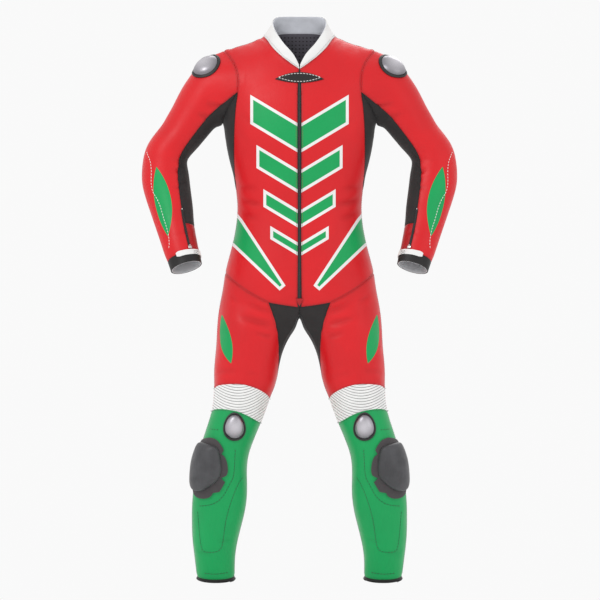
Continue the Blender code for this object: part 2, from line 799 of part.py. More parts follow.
def wall(name, faces, thickness, material, normals, lift=0.0, raise_by=None, draw_in=SEAM_GAP / 2):
    """A closed wall: its outer side on the faces, moved out by lift and by raise_by's share."""
    faces = clean(faces)
    pulls = drawn_in(faces, draw_in)

    def base(point):
        return point + pulls.get(key(point), np.zeros(3)) + normals[key(point)] * lift

    def outer(point):
        extra = raise_by.get(key(point), 0.0) if raise_by else 0.0
        return base(point) + normals[key(point)] * extra

    return closed(name, faces, outer, lambda point: base(point) - normals[key(point)] * thickness, material)


# ------------------------------------------------------------------ Blender objects

Finish = namedtuple("Finish", "colour roughness metallic")
FINISHES = {
    "leather_red": Finish((0.80, 0.035, 0.045), 0.45, 0.0),
    "leather_crimson": Finish((0.45, 0.02, 0.03), 0.5, 0.0),
    "leather_green": Finish((0.0, 0.40, 0.11), 0.45, 0.0),
    "leather_white": Finish((0.86, 0.86, 0.85), 0.45, 0.0),
    "leather_black": Finish((0.04, 0.035, 0.035), 0.5, 0.0),
    "stretch_black": Finish((0.045, 0.04, 0.04), 0.85, 0.0),
    "facing_grey": Finish((0.48, 0.49, 0.54), 0.8, 0.0),
    "mesh_charcoal": Finish((0.07, 0.07, 0.08), 0.85, 0.0),
    "zip_black": Finish((0.02, 0.02, 0.02), 0.4, 0.0),
    "armour_metal": Finish((0.62, 0.63, 0.66), 0.25, 1.0),
    "armour_rim": Finish((0.03, 0.03, 0.03), 0.4, 0.0),
    "slider_plastic": Finish((0.07, 0.068, 0.075), 0.35, 0.0),
    "slider_base": Finish((0.03, 0.028, 0.03), 0.6, 0.0),
}


def material_of(name):
    material = bpy.data.materials.get(name)
    if material is None:
        finish = FINISHES[name]
        material = bpy.data.materials.new(name)
        material.use_nodes = True
        shader = material.node_tree.nodes["Principled BSDF"]
        shader.inputs["Base Color"].default_value = (*finish.colour, 1)
        shader.inputs["Roughness"].default_value = finish.roughness
        shader.inputs["Metallic"].default_value = finish.metallic
        material.diffuse_color = (*finish.colour, 1)
    return material


def make_object(name, points, faces, material):
    mesh = bpy.data.meshes.new(name)
    mesh.from_pydata([tuple(p * MILLIMETRE) for p in points], [], faces)
    mesh.materials.append(material_of(material))
    mesh.shade_smooth()
    mesh.set_sharp_from_angle(angle=math.radians(50))
    piece = bpy.data.objects.new(name, mesh)
    bpy.context.scene.collection.objects.link(piece)
    return piece


def both_sides(build):
    """Calls build(side, turn), where turn mirrors faces for the wearer's right side."""
    build("left", lambda faces: faces)
    build("right", mirrored)


for old in list(bpy.data.objects):
    bpy.data.objects.remove(old)

# ------------------------------------------------------------------ the shared net

front_net = half_torso("front")
back_net = half_torso("back")
side_net = side_panel_net()
arm_net, arm_section_rows = sleeve_net()
thigh_front_net, thigh_back_net, gusset_net = thigh_nets()
accordion = accordion_net(thigh_front_net)
shin_front_net, shin_back_net, thigh_back_net, hem_net = lower_leg_nets(accordion, thigh_back_net)
STRIP_END = arm_section_rows[UNDERARM_LAST + 1]
CUFF_ROW = arm_section_rows[CUFF_FIRST + 1]


def arm_part(first_row, last_row, first_column, last_column):
    """Part of the sleeve's net; a column past the last one wraps round."""
    columns = [c % arm_net.shape[1] for c in range(first_column, last_column + 1)]
    return arm_net[first_row : last_row + 1][:, columns]


ROUND = arm_net.shape[1]
zip_rows = np.array([[row[0] * np.array([-1, 1, 1]), row[0] * np.array([0, 1, 1]), row[0]] for row in front_net])
LEFT_FACES = {
    "front": quads(front_net),
    "side_panel": quads(side_net[::-1]),
    "sleeve": quads(arm_part(0, CUFF_ROW, UNDERARM_HALF, ROUND - UNDERARM_HALF)),
    "underarm": quads(arm_part(0, STRIP_END, ROUND - UNDERARM_HALF, ROUND + UNDERARM_HALF)),
    "cuff_gusset": quads(arm_part(STRIP_END, CUFF_ROW, ROUND - UNDERARM_HALF, ROUND + UNDERARM_HALF)),
    "cuff_band": quads(arm_part(CUFF_ROW, len(arm_net) - 1, 0, ROUND)),
    "thigh_front": quads(thigh_front_net),
    "thigh_back": quads(thigh_back_net),
    "accordion": quads(accordion),
    "shin_front": quads(shin_front_net),
    "shin_back": quads(shin_back_net),
    "hem": quads(hem_net),
}
BACK_FACES = [face[::-1] for face in quads(back_net)]
BACK_FACES += mirrored(BACK_FACES)
GUSSET_FACES = [face[::-1] for face in quads(gusset_net)]
GUSSET_FACES += mirrored(GUSSET_FACES)
ZIP_FACES = quads(zip_rows)


def collar_net():
    """The stand-up collar from the zip round to the middle of the back."""
    base = np.concatenate([front_net[0, : NECK_COLUMNS + 1], back_net[0, NECK_COLUMNS - 1 :: -1]])
    top = spread(COLLAR_TOP, 2 * NECK_COLUMNS)
    middle = (base + top) / 2
    away = middle * np.array([1, 1, 0])
    middle = middle + away / np.linalg.norm(away, axis=1)[:, None] * COLLAR_BULGE
    return np.array([top, middle, base])


COLLAR_FACES = quads(collar_net())
COLLAR_FACES += mirrored(COLLAR_FACES)

left_faces = [face for faces in LEFT_FACES.values() for face in faces]
SKIN = clean(left_faces + mirrored(left_faces) + BACK_FACES + GUSSET_FACES + ZIP_FACES + COLLAR_FACES)
NORMALS = normals_of(SKIN)


def even_out_normals(edge):
    """Gives a fine edge that lies on one long edge the long edge's directions."""
    first, last = NORMALS[key(edge[0])], NORMALS[key(edge[-1])]
    for k, point in enumerate(edge):
        share = k / (len(edge) - 1)
        direction = first * (1 - share) + last * share
        NORMALS[key(point)] = direction / np.linalg.norm(direction)


def with_own_normals(faces, edge):
    """The shared directions, but the faces' own ones along an edge that folds inwards."""
    own, chosen = normals_of(faces), dict(NORMALS)
    for point in edge:
        chosen[key(point)] = own[key(point)]
    return chosen


for column in (accordion[:, 0], accordion[:, -1]):
    even_out_normals(column)
    even_out_normals(column * np.array([-1, 1, 1]))

# ------------------------------------------------------------------ what lies on the panels


def surface(net):
    """A surface that points are cast onto."""
    rows, columns = net.shape[:2]
    faces = []
    for i in range(rows - 1):
        for j in range(columns - 1):
            corner = i * columns + j
            faces.append([corner, corner + columns, corner + columns + 1, corner + 1])
    return BVHTree.FromPolygons([Vector(p) for p in net.reshape(-1, 3)], faces)


def cast(surface_tree, point, outward):
    """Where a point lands on a surface when it comes in, and the surface's direction there."""
    start = Vector(point) + Vector(outward) * CAST_FROM
    place, normal = surface_tree.ray_cast(start, -Vector(outward))[:2]
    if place is None:
        place, normal = surface_tree.find_nearest(Vector(point))[:2]
    normal = np.array(normal)
    return np.array(place), normal * math.copysign(1, normal @ np.array(outward))


CHEST = surface(
    np.array([[torso_over(x, z, "front") for x in range(-120, 121, 8)] for z in range(-60, -741, -8)])
)
SLEEVE_SURFACE = surface(sleeve_rows(np.arange(0.0, 361.0, 6.0), np.arange(0.1, 13.01, 0.1)))
LEG_SURFACE = surface(
    np.array([[leg_at(a, z) for a in range(-60, 241, 5)] for z in range(-900, -1404, -8)])
)


def laid_on(surface_tree, name, net, outward, heights, material, turn, lift=CLEARANCE, around=False, bent=False):
    """A piece that lies on a surface: its net's points are cast there and raised by heights.

    A bent piece is raised square to the surface everywhere, another one straight outwards.
    """
    directions = np.broadcast_to(np.array(outward, float), net.shape)
    bottoms, tops = {}, {}
    for row, way_row, height_row in zip(net, directions, heights):
        for point, way, height in zip(row, way_row, height_row):
            way = way / np.linalg.norm(way)
            place, normal = cast(surface_tree, point, way)
            seat = place + normal * lift
            bottoms[key(point)], tops[key(point)] = seat, seat + (normal if bent else way) * height
    if around:
        net = np.concatenate([net, net[:, :1]], axis=1)
    faces = clean(quads(net))
    wind = sum(np.dot(area_normal(face), directions[0, 0]) for face in faces)
    if wind < 0:
        faces = [face[::-1] for face in faces]
    flip = np.array([-1, 1, 1])
    sides = {}
    for k in bottoms:
        sides[k] = (tops[k], bottoms[k])
        sides[key(np.array(k) * flip)] = (tops[k] * flip, bottoms[k] * flip)
    return closed(name, turn(faces), lambda p: sides[key(p)][0], lambda p: sides[key(p)][1], material)


def disc_net(middle, facing, outline, shares):
    """Rings of an outline that shrinks to its middle, on a plane that faces a direction."""
    facing = np.array(facing, float) / np.linalg.norm(facing)
    across = np.cross(facing, [0, 0, 1.0])
    across /= np.linalg.norm(across)
    up = np.cross(across, facing)
    centre = np.array([np.mean([s[0] for s in outline]), np.mean([s[1] for s in outline])])
    rows = []
    for share in shares:
        spots = centre + (np.array([[s[0], s[1]] for s in outline]) - centre) * share
        rows.append([middle + across * a + up * b for a, b in spots])
    return np.array(rows)


def oval(half_width, half_height, narrow=0.0, count=20):
    """An egg's outline that is narrower at its top."""
    turns = np.linspace(0, 2 * math.pi, count, endpoint=False)
    return [(half_width * math.cos(t) * (1 - narrow * math.sin(t)), half_height * math.sin(t)) for t in turns]


def domed(shares, edge, height):
    """Heights of a dome's rings."""
    inside = shares[0]
    return [edge + (height - edge) * math.sqrt(max(0.0, 1 - (share / inside) ** 2)) for share in shares]


# ------------------------------------------------------------------ the panels


under_arm = {"left": side_net[-1, 1:-1], "right": side_net[-1, 1:-1] * np.array([-1, 1, 1])}


def build_torso():
    wall("back", BACK_FACES, LEATHER, "leather_red", NORMALS)
    wall("main_zip", ZIP_FACES, STRETCH, "zip_black", NORMALS)

    def halves(side, turn):
        wall(f"front_{side}", turn(LEFT_FACES["front"]), LEATHER, "leather_red", NORMALS)
        panel = turn(LEFT_FACES["side_panel"])
        wall(f"side_panel_{side}", panel, STRETCH, "stretch_black", with_own_normals(panel, under_arm[side]))

    both_sides(halves)


def build_collar():
    wall("collar", COLLAR_FACES, COLLAR_WALL, "leather_white", NORMALS)
    facing = quads(collar_net()[:, FACING_FIRST_COLUMN:])
    facing += mirrored(facing)
    wall("collar_facing", facing, LINING, "facing_grey", NORMALS, lift=-(COLLAR_WALL + CLEARANCE))
    lining = [face[::-1] for face in quads(back_net[: LINING_ROWS + 1, : LINING_COLUMNS + 1])]
    lining += mirrored(lining)
    wall("neck_lining", lining, LINING, "mesh_charcoal", NORMALS, lift=-(LEATHER + CLEARANCE))


def build_sleeves():
    def sleeve(side, turn):
        wall(f"sleeve_{side}", turn(LEFT_FACES["sleeve"]), LEATHER, "leather_red", NORMALS)
        strip = turn(LEFT_FACES["underarm"])
        wall(f"underarm_{side}", strip, STRETCH, "stretch_black", with_own_normals(strip, under_arm[side]))
        wall(f"cuff_gusset_{side}", turn(LEFT_FACES["cuff_gusset"]), STRETCH, "leather_crimson", NORMALS)
        wall(f"cuff_band_{side}", turn(LEFT_FACES["cuff_band"]), LEATHER, "leather_black", NORMALS)
        lining = turn(quads(arm_part(CUFF_ROW - CUFF_LINING_ROWS, len(arm_net) - 1, 0, ROUND)))
        wall(f"cuff_lining_{side}", lining, LINING, "facing_grey", NORMALS, lift=-(LEATHER + CLEARANCE))

    both_sides(sleeve)


def build_legs():
    ribs = {}
    for k in range(1, len(accordion) - 1, 2):
        for point in accordion[k][1:-1]:
            ribs[key(point)] = RIB_HEIGHT
            ribs[key(point * np.array([-1, 1, 1]))] = RIB_HEIGHT
    wall("crotch_gusset", GUSSET_FACES, STRETCH, "stretch_black", NORMALS)

    def leg(side, turn):
        for panel, finish in (
            ("thigh_front", "leather_red"),
            ("thigh_back", "leather_red"),
            ("shin_front", "leather_green"),
            ("shin_back", "leather_green"),
        ):
            wall(f"{panel}_{side}", turn(LEFT_FACES[panel]), LEATHER, finish, NORMALS)
        wall(f"accordion_{side}", turn(LEFT_FACES["accordion"]), LEATHER, "leather_white", NORMALS, raise_by=ribs)
        wall(f"hem_{side}", turn(LEFT_FACES["hem"]), HEM_THICKNESS, "leather_black", NORMALS, lift=HEM_LIFT)

    both_sides(leg)


# ------------------------------------------------------------------ zips, patches and straps


def build_front_patches():
    """The patch that covers the zip's top, and the tab that ends it below."""
    across = np.linspace(-1, 1, 13)
    rows = []
    for share in np.linspace(1, 0, 3):
        row = []
        for s in across:
            span = (THROAT_PATCH["rise"] + THROAT_PATCH["fall"]) * share - THROAT_PATCH["fall"]
            row.append([THROAT_PATCH["half_width"] * s, 0.0, THROAT_PATCH["tip_z"] + span * (1 - s * s)])
        rows.append(row)
    net = np.array(rows)
    heights = np.full(net.shape[:2], PATCH_THICKNESS)
    laid_on(CHEST, "throat_patch", net, FORWARD, heights, "leather_black", lambda faces: faces)
    tab = []
    for share in np.linspace(0, 1, 3):
        half = ZIP_TAB["half_width"] * (1 - share)
        z = ZIP_TAB["top_z"] + (ZIP_TAB["foot_z"] - ZIP_TAB["top_z"]) * share
        tab.append([[half * s, 0.0, z] for s in (-1, 0, 1)])
    net = np.array(tab)
    heights = np.full(net.shape[:2], PATCH_THICKNESS)
    laid_on(CHEST, "zip_end_tab", net, FORWARD, heights, "leather_crimson", lambda faces: faces)


def on_sleeve(strip):
    """A net on the sleeve and the directions in which it faces away from the arm."""
    angles = np.linspace(strip.first_angle, strip.last_angle, strip.columns + 1)
    places = np.linspace(strip.first_place, strip.last_place, strip.rows + 1)
    net = sleeve_rows(angles, places)
    middles = sleeve_rows(sleeve_angles(), places).mean(axis=1)[:, None, :]
    return net, net - middles


def build_cuff_details():
    def cuff(side, turn):
        net, ways = on_sleeve(FOREARM_ZIP)
        heights = np.full(net.shape[:2], TEETH_HEIGHT)
        laid_on(SLEEVE_SURFACE, f"forearm_zip_{side}", net, ways, heights, "zip_black", turn)
        net, ways = on_sleeve(FOREARM_ZIP_SLIDER)
        heights = np.full(net.shape[:2], ZIP_SLIDER_HEIGHT)
        laid_on(SLEEVE_SURFACE, f"forearm_zip_slider_{side}", net, ways, heights, "armour_metal", turn)
        net, ways = on_sleeve(CUFF_STRAP)
        net[:, -1] += (net[:, -1].mean(axis=0) - net[:, -1]) * STRAP_POINT
        heights = np.full(net.shape[:2], STRAP_THICKNESS)
        laid_on(SLEEVE_SURFACE, f"cuff_strap_{side}", net, ways, heights, "leather_white", turn)

    both_sides(cuff)


# ------------------------------------------------------------------ armour


def build_rimmed_dome(name, tree, middle, facing, outline, height, lift, side, turn):
    """A metal dome and the black rim round it."""
    rim_edge = RIM_HEIGHT * 0.7
    net = disc_net(middle, facing, outline, [1.0, RIM_SHARE])
    heights = np.repeat([[rim_edge], [RIM_HEIGHT]], len(outline), axis=1)
    laid_on(tree, f"{name}_rim_{side}", net, facing, heights, "armour_rim", turn, lift, around=True)
    shares = [RIM_SHARE - 0.02, 0.66, 0.36, 0.0]
    net = disc_net(middle, facing, outline, shares)
    heights = np.repeat([[h] for h in domed(shares, rim_edge, height)], len(outline), axis=1)
    laid_on(tree, f"{name}_{side}", net, facing, heights, "armour_metal", turn, lift, around=True)


def build_slider(side, turn):
    """The knee slider: a bent base plate on the leg, and the puck on it."""
    net = disc_net(SLIDER_MIDDLE, SLIDER_FACING, SLIDER_BASE, [1.0, 0.8, 0.6, 0.4, 0.2, 0.0])
    heights = np.full(net.shape[:2], SLIDER_BASE_THICKNESS)
    place = {"outward": SLIDER_FACING, "turn": turn, "around": True}
    name = f"slider_base_{side}"
    laid_on(LEG_SURFACE, name, net, heights=heights, material="slider_base", lift=SLIDER_LIFT, bent=True, **place)
    shares = [1.0, 0.9, 0.72, 0.5, 0.25, 0.0]
    net = disc_net(SLIDER_MIDDLE, SLIDER_FACING, SLIDER_PUCK, shares)
    edge = PUCK_HEIGHT * PUCK_EDGE
    heights = np.repeat([[h] for h in domed(shares, edge, PUCK_HEIGHT)], len(SLIDER_PUCK), axis=1)
    lift = SLIDER_LIFT + SLIDER_BASE_THICKNESS + PUCK_LIFT
    name = f"slider_puck_{side}"
    laid_on(LEG_SURFACE, name, net, heights=heights, material="slider_plastic", lift=lift, **place)


def build_armour():
    cup_middle = sleeve_rows([CUP_ANGLE], [CUP_PLACE])[0, 0]
    cup = oval(CUP_RADIUS, CUP_RADIUS)
    dome = oval(KNEE_DOME_HALF_WIDTH, KNEE_DOME_HALF_HEIGHT, narrow=0.16)

    def armour(side, turn):
        place = (SLEEVE_SURFACE, cup_middle, CUP_FACING)
        build_rimmed_dome("shoulder_cup", *place, cup, CUP_HEIGHT, CUP_LIFT, side, turn)
        place = (LEG_SURFACE, DOME_MIDDLE, DOME_FACING)
        build_rimmed_dome("knee_dome", *place, dome, KNEE_DOME_HEIGHT, KNEE_DOME_LIFT, side, turn)
        build_slider(side, turn)

    both_sides(armour)


build_torso()
build_collar()
build_sleeves()
build_legs()
build_front_patches()
build_cuff_details()
build_armour()
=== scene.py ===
"""A one-piece leather race suit, filled out as it is worn, with nobody in it.

Its cut panels are shaped first as one sewn surface on the CAD walls, so that seams meet and
creases run across them, and each panel is then cut out of it with its own finish. Metres
throughout; the front faces -Y, and the wearer's left is +X.
"""

import json
import math
from collections import namedtuple

import bmesh
import bpy
import numpy as np
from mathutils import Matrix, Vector
from mathutils.bvhtree import BVHTree


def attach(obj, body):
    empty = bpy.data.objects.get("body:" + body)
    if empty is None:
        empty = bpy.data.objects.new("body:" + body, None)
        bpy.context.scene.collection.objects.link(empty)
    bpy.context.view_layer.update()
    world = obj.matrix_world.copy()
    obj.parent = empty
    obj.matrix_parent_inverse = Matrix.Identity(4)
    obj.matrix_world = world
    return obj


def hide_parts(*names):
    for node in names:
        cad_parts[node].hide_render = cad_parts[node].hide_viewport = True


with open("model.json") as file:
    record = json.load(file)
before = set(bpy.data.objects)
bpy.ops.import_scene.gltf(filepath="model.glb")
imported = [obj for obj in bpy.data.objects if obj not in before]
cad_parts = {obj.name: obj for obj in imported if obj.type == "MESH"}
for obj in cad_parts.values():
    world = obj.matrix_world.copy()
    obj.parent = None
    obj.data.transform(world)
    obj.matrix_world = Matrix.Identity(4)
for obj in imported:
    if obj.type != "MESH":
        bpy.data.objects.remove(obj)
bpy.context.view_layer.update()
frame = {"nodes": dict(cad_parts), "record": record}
nodes = frame["nodes"]
bpy.ops.object.select_all(action="DESELECT")
bpy.context.scene.view_settings.view_transform = "Standard"

# ---------------------------------------------------------------- the sewn shell
# The panels of leather and stretch fabric are sewn edge to edge into one tube for the body,
# arms and legs. Here the outer sides of their walls are welded at the seams and rounded, and
# pass through every point of the CAD walls.

LEATHER = 0.0022
STRETCH = 0.0018
COLLAR_WALL = 0.003
HEM_WALL = 0.0026
OF_LEATHER = "front back sleeve cuff_band thigh_front thigh_back accordion shin_front shin_back"
OF_STRETCH = "main_zip side_panel crotch_gusset underarm cuff_gusset"
WALLS = {"collar": COLLAR_WALL, "hem": HEM_WALL}
WALLS |= dict.fromkeys(OF_LEATHER.split(), LEATHER) | dict.fromkeys(OF_STRETCH.split(), STRETCH)
WELD = 0.0008  # panels lie 0.3 mm apart, and up to twice that at corners
SHELL_LEVEL = 3
SEAM_DIP = 0.0011  # how far a seam pulls the leather in
SEAM_GAP = 0.0002
MERGE = 1e-5  # points of a CAD wall that are closer than this are one point

hollow = np.array([opening["box_m"] for opening in frame["record"]["physics"]["openings"]])


def kind_of(name):
    """A node's name without its side."""
    return name.removesuffix("_left").removesuffix("_right")


def away_from_body(point):
    """The direction from the hollow that the wearer fills to a point of the suit."""
    offsets = np.array(point) - np.clip(np.array(point), hollow[:, 0], hollow[:, 1])
    distances = np.maximum(np.linalg.norm(offsets, axis=1, keepdims=True), 1e-4)
    return Vector((offsets / distances**3).sum(axis=0)).normalized()


def islands(mesh):
    """The sets of faces that hang together."""
    left, found = set(mesh.faces), []
    while left:
        island, queue = [], [left.pop()]
        while queue:
            face = queue.pop()
            island.append(face)
            for edge in face.edges:
                for other in edge.link_faces:
                    if other in left:
                        left.discard(other)
                        queue.append(other)
        found.append(island)
    return found


def in_quads(mesh, turn):
    """Joins the pairs of triangles that meet at less than some degrees."""
    flat, shape = math.radians(turn), math.radians(80)
    limits = {"angle_face_threshold": flat, "angle_shape_threshold": shape}
    bmesh.ops.join_triangles(mesh, faces=mesh.faces, **limits)


def outer_side(node, wall):
    """The outer side of a CAD wall, in quads, without its cut edges and its inner side."""
    side = bmesh.new()
    side.from_mesh(node.data)
    bmesh.ops.remove_doubles(side, verts=side.verts, dist=MERGE)
    cut_edges = [f for f in side.faces if any(abs(e.calc_length() - wall) < MERGE for e in f.edges)]
    bmesh.ops.delete(side, geom=cut_edges, context="FACES_ONLY")
    side.normal_update()
    for island in islands(side):
        facing = sum(f.calc_area() * f.normal.dot(away_from_body(f.calc_center_median())) for f in island)
        if facing < 0:
            bmesh.ops.delete(side, geom=island, context="FACES")
    in_quads(side, 80)
    return side


def added(name, data):
    """A new object in the scene."""
    piece = bpy.data.objects.new(name, data)
    bpy.context.scene.collection.objects.link(piece)
    return piece


panel_names = sorted(name for name in nodes if kind_of(name) in WALLS)
welded = bmesh.new()
panel_layer = welded.faces.layers.int.new("panel")
for number, name in enumerate(panel_names):
    side = outer_side(nodes[name], WALLS[kind_of(name)])
    copies = {v: welded.verts.new(v.co) for v in side.verts if v.link_faces}
    for face in side.faces:
        welded.faces.new([copies[v] for v in face.verts])[panel_layer] = number
    side.free()
bmesh.ops.remove_doubles(welded, verts=welded.verts, dist=WELD)
bmesh.ops.recalc_face_normals(welded, faces=welded.faces)
shell_mesh = bpy.data.meshes.new("sewn_shell")
welded.to_mesh(shell_mesh)
welded.free()
shell = added("sewn_shell", shell_mesh)


def rounded(piece, level, passes=4):
    """The mesh of a piece that is subdivided so that it still runs through its first points."""
    smooth = piece.modifiers.new("Rounding", "SUBSURF")
    smooth.boundary_smooth = "PRESERVE_CORNERS"
    smooth.levels = smooth.render_levels = 1
    count = len(piece.data.vertices)
    wanted = np.empty(count * 3, np.float32)
    piece.data.vertices.foreach_get("co", wanted)
    control = wanted.copy()
    for _ in range(passes):
        now = piece.evaluated_get(bpy.context.evaluated_depsgraph_get()).data
        reached = np.empty(len(now.vertices) * 3, np.float32)
        now.vertices.foreach_get("co", reached)
        control += wanted - reached[: count * 3]
        piece.data.vertices.foreach_set("co", control)
        piece.data.update()
    smooth.levels = smooth.render_levels = level
    return bpy.data.meshes.new_from_object(piece.evaluated_get(bpy.context.evaluated_depsgraph_get()))


fine = rounded(shell, SHELL_LEVEL)
bpy.data.objects.remove(shell)
SKIN = np.empty((len(fine.vertices), 3), np.float32)
fine.vertices.foreach_get("co", SKIN.ravel())
SKIN = SKIN.astype(float)
SKIN_OUT = np.array([v.vector for v in fine.vertex_normals])
SKIN_FACES = np.array([p.vertices[:] for p in fine.polygons])
SKIN_PANELS = np.empty(len(fine.polygons), np.int32)
fine.attributes["panel"].data.foreach_get("value", SKIN_PANELS)

# ---------------------------------------------------------------- creases
# Leather that has been worn creases where the wearer bends: inside the elbows, at the groin
# and armpits, behind the knees and round the waist. Each crease is a soft trough with raised
# sides, from one point of the suit to another, bowed a little. The right side's creases are
# the left side's, each a little longer, shorter, deeper or shallower.

Crease = namedtuple("Crease", "start end bow depth width")
CREASES = [  # millimetres, on the wearer's left side
    # inside of the elbow
    ((292, -40, -322), (330, -66, -345), (0, 0, -6), 3.2, 9),
    ((286, -45, -345), (322, -70, -362), (0, 0, 4), 2.6, 8),
    ((290, -36, -300), (352, -58, -318), (0, 0, -8), 2.2, 9),
    ((285, -48, -375), (330, -76, -392), (0, 0, 6), 1.9, 8),
    ((300, 30, -318), (352, 48, -338), (0, 0, -6), 1.8, 9),
    ((296, 28, -350), (350, 44, -366), (0, 0, 5), 1.5, 8),
    # upper arm, from the armpit outwards
    ((196, -58, -200), (246, -56, -168), (0, 0, 8), 2.6, 11),
    ((208, -60, -226), (268, -54, -196), (0, 0, 8), 1.9, 10),
    ((196, 60, -196), (250, 58, -166), (0, 0, 8), 2.2, 11),
    # lower arm towards the cuff
    ((270, -100, -500), (322, -108, -516), (0, 0, 4), 1.5, 8),
    ((264, -112, -540), (300, -122, -548), (0, 0, -3), 1.3, 7),
    ((300, -20, -470), (356, -30, -486), (0, 0, 4), 1.2, 9),
    # chest, from the armpit inwards
    ((160, -96, -196), (118, -118, -236), (4, 0, 6), 2.0, 13),
    ((166, -92, -250), (130, -116, -280), (4, 0, 5), 1.6, 12),
    # waist
    ((158, -40, -418), (92, -104, -432), (0, 0, -7), 2.2, 12),
    ((160, -44, -452), (104, -100, -470), (0, 0, -6), 1.9, 11),
    ((162, -30, -388), (112, -98, -396), (0, 0, 6), 1.5, 12),
    ((60, -112, -446), (14, -112, -456), (0, 0, -4), 1.3, 10),
    ((158, 40, -420), (96, 98, -436), (0, 0, -8), 2.2, 13),
    ((150, 60, -458), (60, 104, -470), (0, 0, -8), 1.9, 12),
    ((110, 96, -388), (30, 108, -400), (0, 0, 6), 1.5, 12),
    # groin and seat
    ((62, -96, -716), (142, -92, -686), (0, 0, -8), 3.0, 11),
    ((66, -92, -744), (150, -92, -722), (0, 0, -7), 2.4, 11),
    ((60, -84, -778), (120, -94, -764), (0, 0, -5), 1.7, 10),
    ((186, -58, -668), (150, -96, -690), (0, 0, -4), 1.9, 11),
    ((60, 96, -742), (150, 92, -722), (0, 0, -12), 2.8, 13),
    ((66, 86, -776), (150, 84, -762), (0, 0, -9), 2.0, 12),
    # above the knee
    ((76, -62, -884), (132, -94, -872), (0, 0, 5), 1.9, 10),
    ((216, -50, -872), (168, -92, -866), (0, 0, 5), 1.7, 10),
    # behind the knee
    ((112, 38, -990), (222, 42, -984), (0, 0, -12), 3.0, 11),
    ((106, 36, -964), (214, 46, -956), (0, 0, 8), 2.4, 11),
    ((122, 40, -1018), (232, 42, -1014), (0, 0, -10), 2.4, 11),
    ((104, 40, -932), (190, 58, -926), (0, 0, 8), 1.7, 11),
    ((134, 40, -1052), (226, 44, -1046), (0, 0, -8), 1.6, 11),
    # lower leg towards the hem
    ((160, -24, -1300), (218, -46, -1312), (0, 0, -5), 1.4, 10),
    ((272, -10, -1330), (226, -36, -1344), (0, 0, -5), 1.3, 10),
    ((166, 60, -1320), (256, 66, -1332), (0, 0, -8), 1.7, 11),
    ((140, -54, -1180), (176, -78, -1196), (0, 0, -4), 1.2, 10),
]
CREASE_STEPS = 12  # points along a crease's line
DEEP = 0.003  # a trough this deep counts as a full crease
PRESS = 1.35  # how much deeper than listed every crease is pressed
RIDGE = 1.1  # the higher, the further a trough's sides rise
END_FADE = 0.8  # the lower, the closer to its ends a trough stays deep
UNEVEN = np.random.default_rng(7)


def crease_line(crease, side):
    """Points along a crease's bowed line, in metres."""
    start, end = np.array(crease.start, float), np.array(crease.end, float)
    middle = (start + end) / 2 + np.array(crease.bow)
    t = np.linspace(0, 1, CREASE_STEPS)[:, None]
    line = (1 - t) ** 2 * start + 2 * t * (1 - t) * middle + t**2 * end
    return line * np.array([side, 1, 1]) / 1000


def press_crease(points, outwards, line, depth, width):
    """Moves points out or in round a crease's line; both directions stay soft."""
    reach = 3 * width
    near = np.all((points > line.min(axis=0) - reach) & (points < line.max(axis=0) + reach), axis=1)
    at = np.nonzero(near)[0]
    nearest = np.full(len(at), 1e9)
    along = np.zeros(len(at))
    for k in range(len(line) - 1):
        step = line[k + 1] - line[k]
        t = np.clip((points[at] - line[k]) @ step / (step @ step), 0, 1)
        away = np.linalg.norm(points[at] - line[k] - t[:, None] * step, axis=1)
        closer = away < nearest
        nearest[closer] = away[closer]
        along[closer] = (k + t[closer]) / (len(line) - 1)
    u = nearest / width
    fade = np.sin(np.pi * np.clip(along, 0.02, 0.98)) ** END_FADE
    points[at] += outwards[at] * (-depth * (1 - RIDGE * u**2) * np.exp(-(u**2)) * fade)[:, None]


uncreased = SKIN.copy()
for side in (1, -1):
    for crease in map(Crease._make, CREASES):
        uneven = 1 + UNEVEN.uniform(-0.25, 0.25, 3) * (side < 0)
        line = crease_line(crease, side)
        line = line.mean(axis=0) + (line - line.mean(axis=0)) * uneven[0]
        depth, width = PRESS * crease.depth / 1000 * uneven[1], crease.width / 1000 * uneven[2]
        press_crease(SKIN, SKIN_OUT, line, depth, width)
SKIN_CREASE = ((SKIN - uncreased) * SKIN_OUT).sum(axis=1) / DEEP

# ---------------------------------------------------------------- cutting the panels out
# Each panel gets its share of the shell, a seam edge that dips where the stitches pull it
# in, and an inner side at the wall's own thickness, which carries the charcoal mesh lining.

SEAM_REACH = 0.004  # how far from a seam the leather is drawn and painted darker, as shade in the seam's dip and as dirt
SEAM_PASSES = 5
SPREAD_PASSES = 6
SPREAD_FADE = 0.97
AT_ONCE = 200  # points compared in one go, to spare memory
Rim = namedtuple("Rim", "points pulls out steps")  # steps: vertex -> (next vertex, neighbour)
RIMS = {}


def edges_of(faces):
    """Directed edges of faces as two columns, and the face that each belongs to."""
    starts = faces.ravel()
    ends = np.roll(faces, -1, axis=1).ravel()
    return np.stack([starts, ends], axis=1), np.repeat(np.arange(len(faces)), faces.shape[1])


all_edges, all_owners = edges_of(SKIN_FACES)
owner_of = {(a, b): owner for (a, b), owner in zip(all_edges.tolist(), all_owners.tolist())}


def averaged(values, links, count):
    """For each point, the mean of some values over the points that it is linked to."""
    sides = np.concatenate([links, links[:, ::-1]])
    totals = [np.bincount(sides[:, 0], values[sides[:, 1], k], count) for k in range(values.shape[1])]
    return np.stack(totals, axis=1) / np.maximum(np.bincount(sides[:, 0], minlength=count), 1)[:, None]


